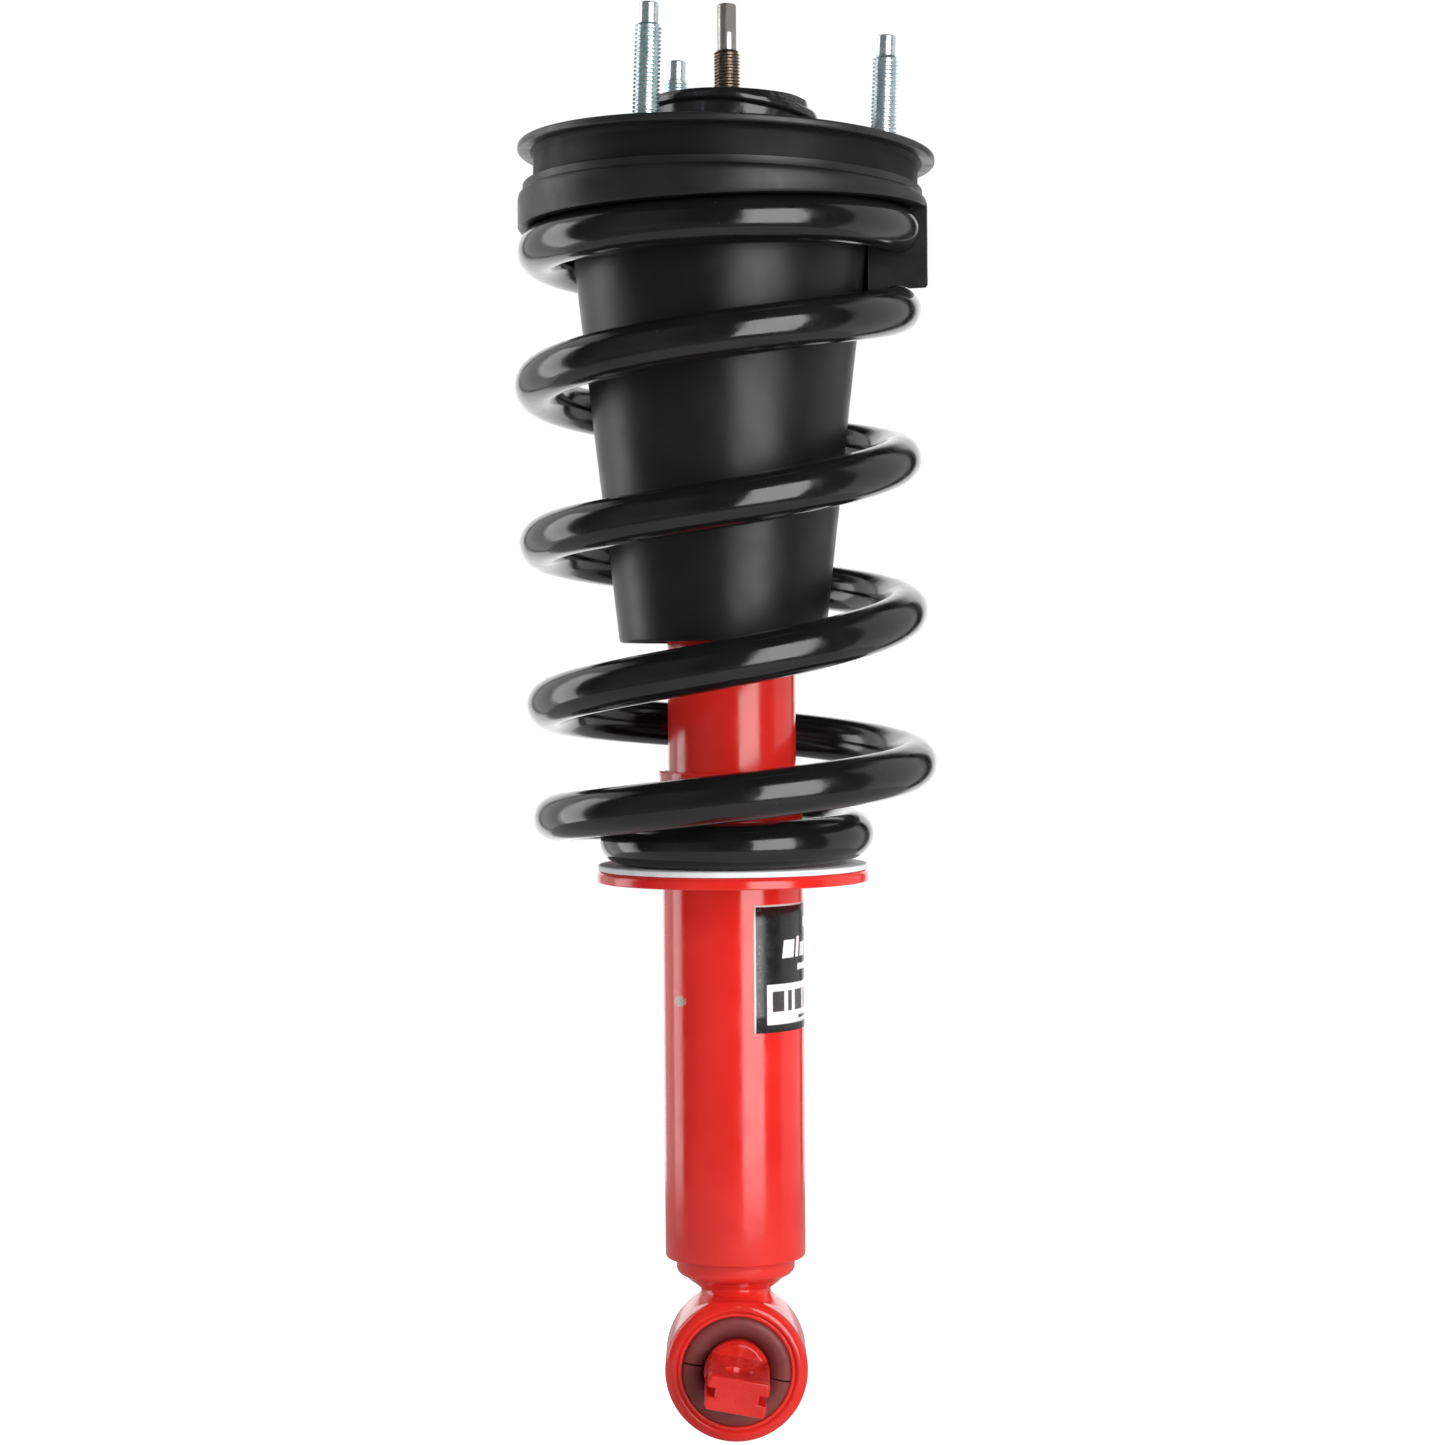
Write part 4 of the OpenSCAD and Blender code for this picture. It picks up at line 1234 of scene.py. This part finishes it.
@dataclass
class SpringIsolator:
    """The rubber isolator, whose underside follows the wire's last turn."""

    finishes: Finishes
    helix: Helix
    mount: MountFrame
    stroke: float
    outer: float = 79.0
    rim_shift: float = 1.2
    bore: float = 57.5
    groove: float = 9.5
    groove_rows: int = 9
    outer_rows: int = 10
    step_rows: int = 8
    step_rise: float = 1.3
    stop_gap: float = 1.2
    sweep: float = 359.2
    steps: int = 144

    def section(self) -> list[tuple[float, bool, float]]:
        """Returns the section: radius, whether it follows the wire, and height from that line."""
        lip = self.groove * math.sin(math.radians(60))
        out = self.outer
        rows: list[tuple[float, bool, float]] = [
            (out - 2.4, False, -0.1), (out - 2.0, False, -0.5), (out - 1.9, False, -3.2),
            (out - 1.7, False, -3.5), (out - 1.1, False, -3.8), (out - 0.5, False, -4.5),
            (out - 0.1, False, -5.8), (out, False, -7.4), (out, True, lip + 1.2),
            (out - 0.7, True, lip + 0.2)]
        for i in range(self.groove_rows):
            swing = math.radians(30 - i * 60 / (self.groove_rows - 1))
            rows.append((math.sin(swing) * self.groove, True, math.cos(swing) * self.groove))
        rows += [(self.bore, True, lip), (self.bore, False, 0)]
        return rows

    def ring(self, name: str) -> Workpiece:
        """Spins the section and drops its underside onto the wire."""
        helix = self.helix
        centre = helix.axis_x(helix.high)
        start = helix.angle(helix.turns) + math.radians(self.stop_gap)
        sweep = math.radians(self.sweep)
        piece = Workpiece(name)
        bm = piece.bm
        rows = self.section()
        layer = bm.verts.layers.int.new("row")
        verts = []
        for i, (r, _, z) in enumerate(rows):
            vert = bm.verts.new((self.bore + i * 0.01, 0, z + i * 0.01))
            vert[layer] = i
            verts.append(vert)
        edges = [bm.edges.new((a, b)) for a, b in zip(verts, verts[1:] + verts[:1])]
        made = bmesh.ops.spin(bm, geom=[*verts, *edges], cent=(0, 0, 0), axis=(0, 0, 1), angle=sweep,
                              steps=self.steps, use_merge=False)
        last = [e for e in made["geom_last"] if isinstance(e, bmesh.types.BMEdge)]
        for rim in (edges, last):
            bmesh.ops.contextual_create(bm, geom=rim)
        for vert in bm.verts:
            swept = math.atan2(vert.co.y, vert.co.x) % FULL_TURN
            if swept > sweep + 0.005:
                swept = 0.0
            angle = start + swept
            t = helix.turns - 1 + (math.radians(self.stop_gap) + swept) / FULL_TURN
            wire = helix.point(t)
            r, follows, rise = rows[vert[layer]]
            if 0 <= vert[layer] - self.outer_rows < self.groove_rows:
                r += math.hypot(wire.x - centre, wire.y)
            x, y = centre + r * math.cos(angle), r * math.sin(angle)
            if vert[layer] < self.outer_rows:
                x += self.rim_shift
            if 0 < vert[layer] < self.step_rows:
                rise += self.step_rise * (1 + math.cos(angle))
            vert.co = (x, y, (wire.z if follows else self.mount.seat(x)) + rise)
        bmesh.ops.recalc_face_normals(bm, faces=list(bm.faces))
        return piece

    def build(self) -> None:
        """Builds the ring in two halves, cut apart at the spring's top height."""
        helix = self.helix
        level = (0, 0, helix.high)
        upper = self.ring("Isolator_Ring")
        upper.cut(upper.bm, level, (0, 0, -1))
        upper.finish(self.finishes["black_rubber"], Body.MOUNT, "black_rubber",
                     ["upper_spring_isolator"], 40)
        lower = self.ring("Isolator_Ramp")
        lower.cut(lower.bm, level, (0, 0, 1))
        obj = lower.finish(self.finishes["black_rubber"], Body.MOUNT, "black_rubber",
                           ["upper_spring_isolator"], 40)
        helix.keep(self.stroke)
        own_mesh(obj)


# ---- Top mount and rod end


@dataclass
class TopMount:
    """The mount: plate, cup, studs and the glossy bush."""

    finishes: Finishes
    frame: MountFrame
    plate_radius: float = 80.5
    plate_thick: float = 3.0
    cup_radius: float = 74.2
    bush_radius: float = 31.4
    neck_shift: float = 2.0
    lip_width: float = 1.9
    bush_height: float = 19.4
    stud_circle: float = 57.5
    stud_shift: float = 3.0
    stud_angle: float = -5.0
    stud_height: float = 46.0
    tip_height: float = 7.8
    tip_radius: float = 3.6
    pitch: float = 1.5
    core_radius: float = 15.0

    def build(self) -> None:
        """Builds the mount's pieces."""
        self.plate()
        self.cup()
        self.studs()
        self.bush()

    def plate(self) -> None:
        """Turns the plate, its rim turned down a little and rounded."""
        piece = Workpiece("Mount_Plate")
        r, t = self.plate_radius, self.plate_thick
        piece.turn([(self.bush_radius, -t, 0.2), (r - 5, -t, 1.0), (r, -t, 1.1), (r, 0, 1.0),
                    (r - 3.4, 0, 1.0), (r - 5, -0.5, 1.0), (self.bush_radius + 13, -0.5, 2.0),
                    (self.bush_radius + 9.5, 0, 2.0), (self.bush_radius, 0, 0.3)], 160)
        piece.push(lambda p: Vector((self.neck_shift * min(max((60 - p.xy.length) / 20, 0), 1), 0, 0)))
        self.frame.place(piece)
        piece.finish(self.finishes["black_coat"], Body.MOUNT, "black_coat", ["mount_plate"])

    def cup(self) -> None:
        """Turns the pressed cup under the plate."""
        piece = Workpiece("Upper_Spring_Seat")
        r, t, under = self.cup_radius, self.plate_thick, self.frame.under
        piece.turn([(36.2, -under, 0.4), (r, -under, 1.6), (r, -t - 1.2, 1.2), (r + 1.6, -t, 0.3),
                    (r - 2.5, -t, 0.3), (r - 2.5, -under + 2.5, 1.2), (36.2, -under + 2.5, 0.4)], 144)
        self.frame.place(piece)
        # The cup's finish is the black coat darkened as painted shade for the plate's shadow over it.
        piece.finish(self.finishes["cup_coat_painted_shade"], Body.MOUNT, "black_coat", ["upper_spring_seat"])

    def studs(self) -> None:
        """Cuts the three studs, with real threads and smooth tips."""
        piece = Workpiece("Mount_Studs")
        for i in range(3):
            stud = Workpiece("stud")
            thread_top = self.stud_height - self.tip_height
            stud.thread(5.0, self.pitch, -0.2, thread_top, 1.2)
            tip = self.tip_radius
            stud.turn([(0, thread_top - 1, 0), (tip, thread_top - 1, 0), (tip, self.stud_height, 0.6),
                       (0, self.stud_height, 0)], 36)
            stud.turn([(0, -6, 0), (8, -6, 0.6), (8, -3, 0.3), (5.4, -3, 0), (5.4, 0.15, 0.2),
                       (0, 0.15, 0)], 36)
            stud.move((self.stud_circle, 0, 0))
            stud.move(turned=self.stud_angle + 120 * i)
            stud.move((self.stud_shift, 0, 0))
            piece.join(stud.bm)
        self.frame.place(piece)
        piece.finish(self.finishes["zinc"], Body.MOUNT, "zinc", ["mount_studs"], 40)

    def bush(self) -> None:
        """Turns the bush, its lip thicker towards +X, with the nut's pocket in it."""
        piece = Workpiece("Mount_Bush")
        r, lip, h = self.bush_radius, self.bush_radius + self.lip_width, self.bush_height
        core, floor, pocket = self.core_radius + 0.05, -22.3, 20.0
        piece.turn([(core, floor, 0.3), (33.7, floor, 1.0), (33.7, -3.1, 0.6), (r + 0.6, -3.1, 0.2),
                    (r + 0.6, 0.2, 0.5), (r - 0.3, 2.2, 1.0), (r - 0.5, 9.0, 2.0), (r - 0.3, h - 4.9, 0.5),
                    (lip - 0.5, h - 4.3, 0.6), (lip, h - 2.6, 0.9), (lip - 0.8, h - 0.6, 0.8),
                    (lip - 3.5, h, 1.0), (pocket + 5.5, h, 1.0), (pocket + 3.2, h - 1.4, 1.0),
                    (pocket, h - 2.4, 0.8), (pocket, 7.6, 0.6), (core, 7.6, 0.3)], 160)

        def offset(p: Vector) -> Vector:
            """Stands the neck off the plate's centre."""
            share = min(max((p.xy.length - 22) / 6, 0.0), 1.0) if p.z > -3.2 else 0.0
            return Vector((self.neck_shift * share, 0, 0))

        piece.push(offset)
        self.frame.place(piece)

        def crease(p: Vector) -> Vector:
            """Thickens the lip's underside towards +X and creases the neck."""
            local = p - self.frame.point(0)
            turn = math.atan2(local.y, local.x)
            high = 1.0 if -7.0 < local.z - self.bush_height < -1.2 else 0.0
            outside = min(max((math.hypot(local.x, local.y) - 24) / 8, 0.0), 1.0)
            droop = -3.4 * high * outside * max(0.0, math.cos(turn + 0.25)) ** 2
            spot = Vector((5 * math.cos(turn), 5 * math.sin(turn), local.z * 0.22))
            crumple = 0.3 * outside * noise.noise(spot)
            shown = 1.0 if local.z > 0.5 else 0.0
            radial = Vector((local.x, local.y, 0)).normalized()
            return (radial * crumple + Vector((0, 0, droop))) * shown

        piece.push(crease)
        piece.finish(self.finishes["gloss_rubber"], Body.MOUNT, "gloss_rubber", ["mount_bush"], 50)


@dataclass
class RodEnd:
    """The upper end of the piston rod with its washers, sleeve and nut."""

    finishes: Finishes
    rod_radius: float = 11.0
    thread_radius: float = 5.0
    pitch: float = 1.25
    smooth_radius: float = 3.65
    smooth_height: float = 18.0
    flat_height: float = 11.3
    flat_depth: float = 0.9
    flat_angle: float = -50.0
    nut_width: float = 17.0

    def build(self) -> None:
        """Builds the rod and the nut; the washers and the sleeve keep their CAD shape."""
        self.rod()
        self.nut()

    def rod(self) -> None:
        """Turns the rod, threads its end and mills the flat on its tip."""
        low, high = node_span("piston_rod")
        shoulder = node_span("lower_washer")[0].z
        shims = node_span("piston_shims")[1].z
        piece = Workpiece("Piston_Rod")
        tip, r = high.z, self.smooth_radius
        thread_top = tip - self.smooth_height
        piece.turn([(0, low.z, 0), (6, low.z, 0.6), (6, shims, 0.2), (self.rod_radius, shims, 0.5),
                    (self.rod_radius, shoulder, 0.8), (4.4, shoulder, 0.2), (0, shoulder, 0)], 64)
        piece.thread(self.thread_radius, self.pitch, shoulder - 0.5, thread_top, 0.9)
        end = Workpiece("cutter")
        end.turn([(0, thread_top - 1, 0), (r, thread_top - 1, 0), (r, tip, 0.8), (0, tip, 0)], 48)
        mill = Workpiece("cutter")
        x, z = r - self.flat_depth, tip - self.flat_height
        mill.prism([(x, z), (x + 6, z), (x + 6, tip + 2), (x, tip + 2)], -8, 8)
        mill.move(turned=self.flat_angle)
        end.carve([mill])
        piece.join(end.bm)
        piece.finish(self.finishes["rod_steel"], Body.ROD, "bare_steel", ["piston_rod"], 30)

    def nut(self) -> None:
        """Turns a hexagon nut with chamfered corners."""
        low, high = node_span("rod_nut")
        piece = Workpiece("Rod_Nut")
        half, corner = self.nut_width / 2, self.nut_width / 2 / math.cos(math.pi / 6)
        bore = self.thread_radius - 0.1
        piece.turn([(bore, low.z, 0.2), (corner, low.z, 0), (corner, low.z + 2, 0), (corner, high.z - 2, 0),
                    (corner, high.z, 0), (bore + 0.8, high.z, 0.3), (bore, high.z - 0.8, 0.1)], 72)

        def flats(p: Vector) -> Vector:
            """Presses the turned blank into a hexagon and keeps its chamfer."""
            flat = math.hypot(p.x, p.y)
            if flat < corner - 1:
                return Vector()
            turn = math.atan2(p.y, p.x) % (math.pi / 3) - math.pi / 6
            side = half / math.cos(turn)
            ends = min(p.z - low.z, high.z - p.z)
            limit = half + 0.3 if ends < 1e-3 else side
            return Vector((p.x, p.y, 0)) * (min(side, limit) / flat - 1)

        piece.push(flats)
        piece.finish(self.finishes["bare_steel"], Body.ROD, "bare_steel", ["rod_nut"], 30, 0.15)


class Innards:
    """The pieces that keep their CAD shape and take a finish only."""

    DRESSES = {
        "tube_cap": "black_coat", "pressure_tube": "bare_steel", "foot_valve": "bronze",
        "rod_guide": "bare_steel", "guide_bush": "bronze", "rod_seal": "black_rubber",
        "piston": "bare_steel", "piston_band": "bronze", "piston_shims": "zinc",
        "piston_nut": "bare_steel", "rebound_stop": "black_rubber", "lower_washer": "zinc",
        "centre_sleeve": "bare_steel", "upper_washer": "zinc", "bush_retainer": "black_coat",
        "bump_stop_cup": "black_coat", "bump_stop": "bump_foam",
    }

    def __init__(self, finishes: Finishes, nodes: dict[str, bpy.types.Object]) -> None:
        """Keeps what is needed to dress the nodes."""
        self.finishes = finishes
        self.nodes = nodes

    def dress(self) -> None:
        """Gives each node its material."""
        for name, finish in self.DRESSES.items():
            mesh = self.nodes[name].data
            mesh.materials.clear()
            mesh.materials.append(self.finishes[finish])
            log.info("%s: dressed in %s", name, finish)


# ---- Studio


@dataclass(frozen=True)
class Panel:
    """A stretch of the studio that shows in reflections; angles in degrees from the camera's side."""

    left: float
    right: float
    low: float
    high: float
    glow: float
    soft: float = 3.0


@dataclass(frozen=True)
class Softbox:
    """A soft light: its azimuth from the camera's side, height, distance, size and power."""

    name: str
    azimuth: float
    height: float
    reach: float
    wide: float
    tall: float
    power: float


@dataclass
class Studio:
    """The camera, the pale floor, the soft lights and the surroundings."""

    camera_at: Corner = (-3.45, -1093.0, 263.6)
    lens: float = 70.45
    lens_drop: float = 0.0305
    roll: float = -0.42
    floor_reach: float = 0.55
    floor_gap: float = 0.0004
    panel_fade: float = 6.0
    ground_fade: tuple[float, float] = (-45.0, 0.0)
    ground_glow: tuple[float, float] = (0.22, 0.012)
    softboxes: tuple[Softbox, ...] = (
        Softbox("Key_Softbox", 31.0, 0.56, 1.5, 0.98, 1.75, 34.0),
        Softbox("Fill_Softbox", -104.0, 0.4, 1.3, 0.5, 1.6, 7.0),
    )
    panels: tuple[Panel, ...] = (
        Panel(-146, -96, -40, 50, 1.0), Panel(82, 137, -40, 50, 0.8),
        Panel(-74, -22, -25, 50, 0.2, 16.0),
        Panel(150, 210, -75, 32, 1.5, 2.0),
    )

    def build(self) -> None:
        """Sets the studio up."""
        self.camera()
        self.floor()
        self.lights()
        self.world()
        view = bpy.context.scene.view_settings
        view.view_transform = "Standard"
        view.look = "None"

    def camera(self) -> None:
        """Places the camera."""
        data = bpy.data.cameras.new("Camera")
        data.lens, data.sensor_width, data.clip_end = self.lens, 36.0, 50.0
        data.shift_y = -self.lens_drop
        camera = bpy.data.objects.new("Camera", data)
        bpy.context.scene.collection.objects.link(camera)
        turn = (Matrix.Rotation(math.radians(90), 4, "X")
                @ Matrix.Rotation(math.radians(self.roll), 4, "Z"))
        camera.matrix_world = Matrix.Translation(Vector(self.camera_at) * MM) @ turn
        bpy.context.scene.camera = camera

    def floor(self) -> None:
        """Lays the pale floor just under the strut."""
        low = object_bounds()[0]
        bm = bmesh.new()
        bmesh.ops.create_circle(bm, cap_ends=True, radius=self.floor_reach, segments=96)
        bmesh.ops.translate(bm, verts=list(bm.verts), vec=(0, 0, low[2] - self.floor_gap))
        mesh = bpy.data.meshes.new("Floor")
        bm.to_mesh(mesh)
        bm.free()
        floor = bpy.data.objects.new("Floor", mesh)
        bpy.context.scene.collection.objects.link(floor)
        recipe = Recipe("floor_paper")
        tint = recipe.mix(recipe.grain(400, 2), (0.86, 0.86, 0.87), (0.9, 0.9, 0.9))
        recipe.surface(Base_Color=tint, Roughness=0.9, Emission_Color=(1.0, 1.0, 1.0))
        seen = recipe.tree.nodes.new("ShaderNodeLightPath").outputs["Is Camera Ray"]
        recipe.put(recipe.shader.inputs["Emission Strength"], seen)
        mesh.materials.append(recipe.material)
        floor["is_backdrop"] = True

    def lights(self) -> None:
        """Hangs the key softbox at the right and a dimmer one at the left, a little behind."""
        for box in self.softboxes:
            data = bpy.data.lights.new(box.name, "AREA")
            data.shape, data.size, data.size_y, data.energy = "RECTANGLE", box.wide, box.tall, box.power
            light = bpy.data.objects.new(box.name, data)
            bpy.context.scene.collection.objects.link(light)
            turn = math.radians(box.azimuth)
            place = Vector((box.reach * math.sin(turn), -box.reach * math.cos(turn), box.height))
            toward = -place
            toward.z = 0
            facing = toward.to_track_quat("-Z", "Y").to_matrix().to_4x4()
            light.matrix_world = Matrix.Translation(place) @ facing

    def world(self) -> None:
        """Paints the surroundings: white to the camera, panels and shade in reflections."""
        world = bpy.data.worlds.new("Studio")
        bpy.context.scene.world = world
        world.use_nodes = True
        tree = world.node_tree
        tree.nodes.clear()
        recipe = Recipe.__new__(Recipe)
        recipe.tree = tree
        way = tree.nodes.new("ShaderNodeTexCoord").outputs["Generated"]
        x, y, z = recipe.split(way)
        around = recipe.math("DEGREES", recipe.math("ARCTAN2", x, recipe.math("MULTIPLY", y, -1.0)))
        around_back = recipe.math("WRAP", around, 360.0)
        around_back.node.inputs[2].default_value = 0.0
        up = recipe.math("DEGREES", recipe.math("ARCSINE", z))
        glow, fade = recipe.between(up, *self.ground_fade, *self.ground_glow), self.panel_fade
        for panel in self.panels:
            angle = around_back if panel.right > 180 else around
            mask = recipe.between(angle, panel.left - panel.soft, panel.left + panel.soft)
            for low, high, a, b, value in (
                    (panel.right - panel.soft, panel.right + panel.soft, 1.0, 0.0, angle),
                    (panel.low - fade, panel.low + fade, 0.0, 1.0, up),
                    (panel.high - fade, panel.high + fade, 1.0, 0.0, up)):
                mask = recipe.math("MULTIPLY", mask, recipe.between(value, low, high, a, b))
            glow = recipe.math("ADD", glow, recipe.math("MULTIPLY", mask, panel.glow))
        seen = tree.nodes.new("ShaderNodeLightPath").outputs["Is Camera Ray"]
        shade = tree.nodes.new("ShaderNodeCombineXYZ")
        for socket in shade.inputs:
            recipe.put(socket, glow)
        colour = recipe.mix(seen, shade.outputs[0], (1.0, 1.0, 1.0))
        sky = tree.nodes.new("ShaderNodeBackground")
        recipe.put(sky.inputs["Color"], colour)
        output = tree.nodes.new("ShaderNodeOutputWorld")
        tree.links.new(sky.outputs[0], output.inputs["Surface"])


def main() -> None:
    """Builds the strut round the frame, sub-assembly by sub-assembly."""
    logging.basicConfig(level=logging.INFO, format="%(name)s: %(message)s")
    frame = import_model()
    travel = next(j for j in frame["joints"] if j["name"] == "damper_stroke")
    stroke = max(abs(limit) for limit in travel["range_m"]) / MM
    finishes = Finishes()
    helix, mount = Helix(), MountFrame()
    LowerEye(finishes).build()
    BarPin(finishes).build()
    DamperTube(finishes).build()
    SpringSeat(finishes).build()
    CoilSpring(finishes, helix, stroke).build()
    SpringIsolator(finishes, helix, mount, stroke).build()
    DustBoot(finishes, mount, helix.axis_x(helix.high)).build()
    TopMount(finishes, mount).build()
    RodEnd(finishes).build()
    Innards(finishes, frame["nodes"]).dress()
    Studio().build()


if __name__ == "__main__":
    main()
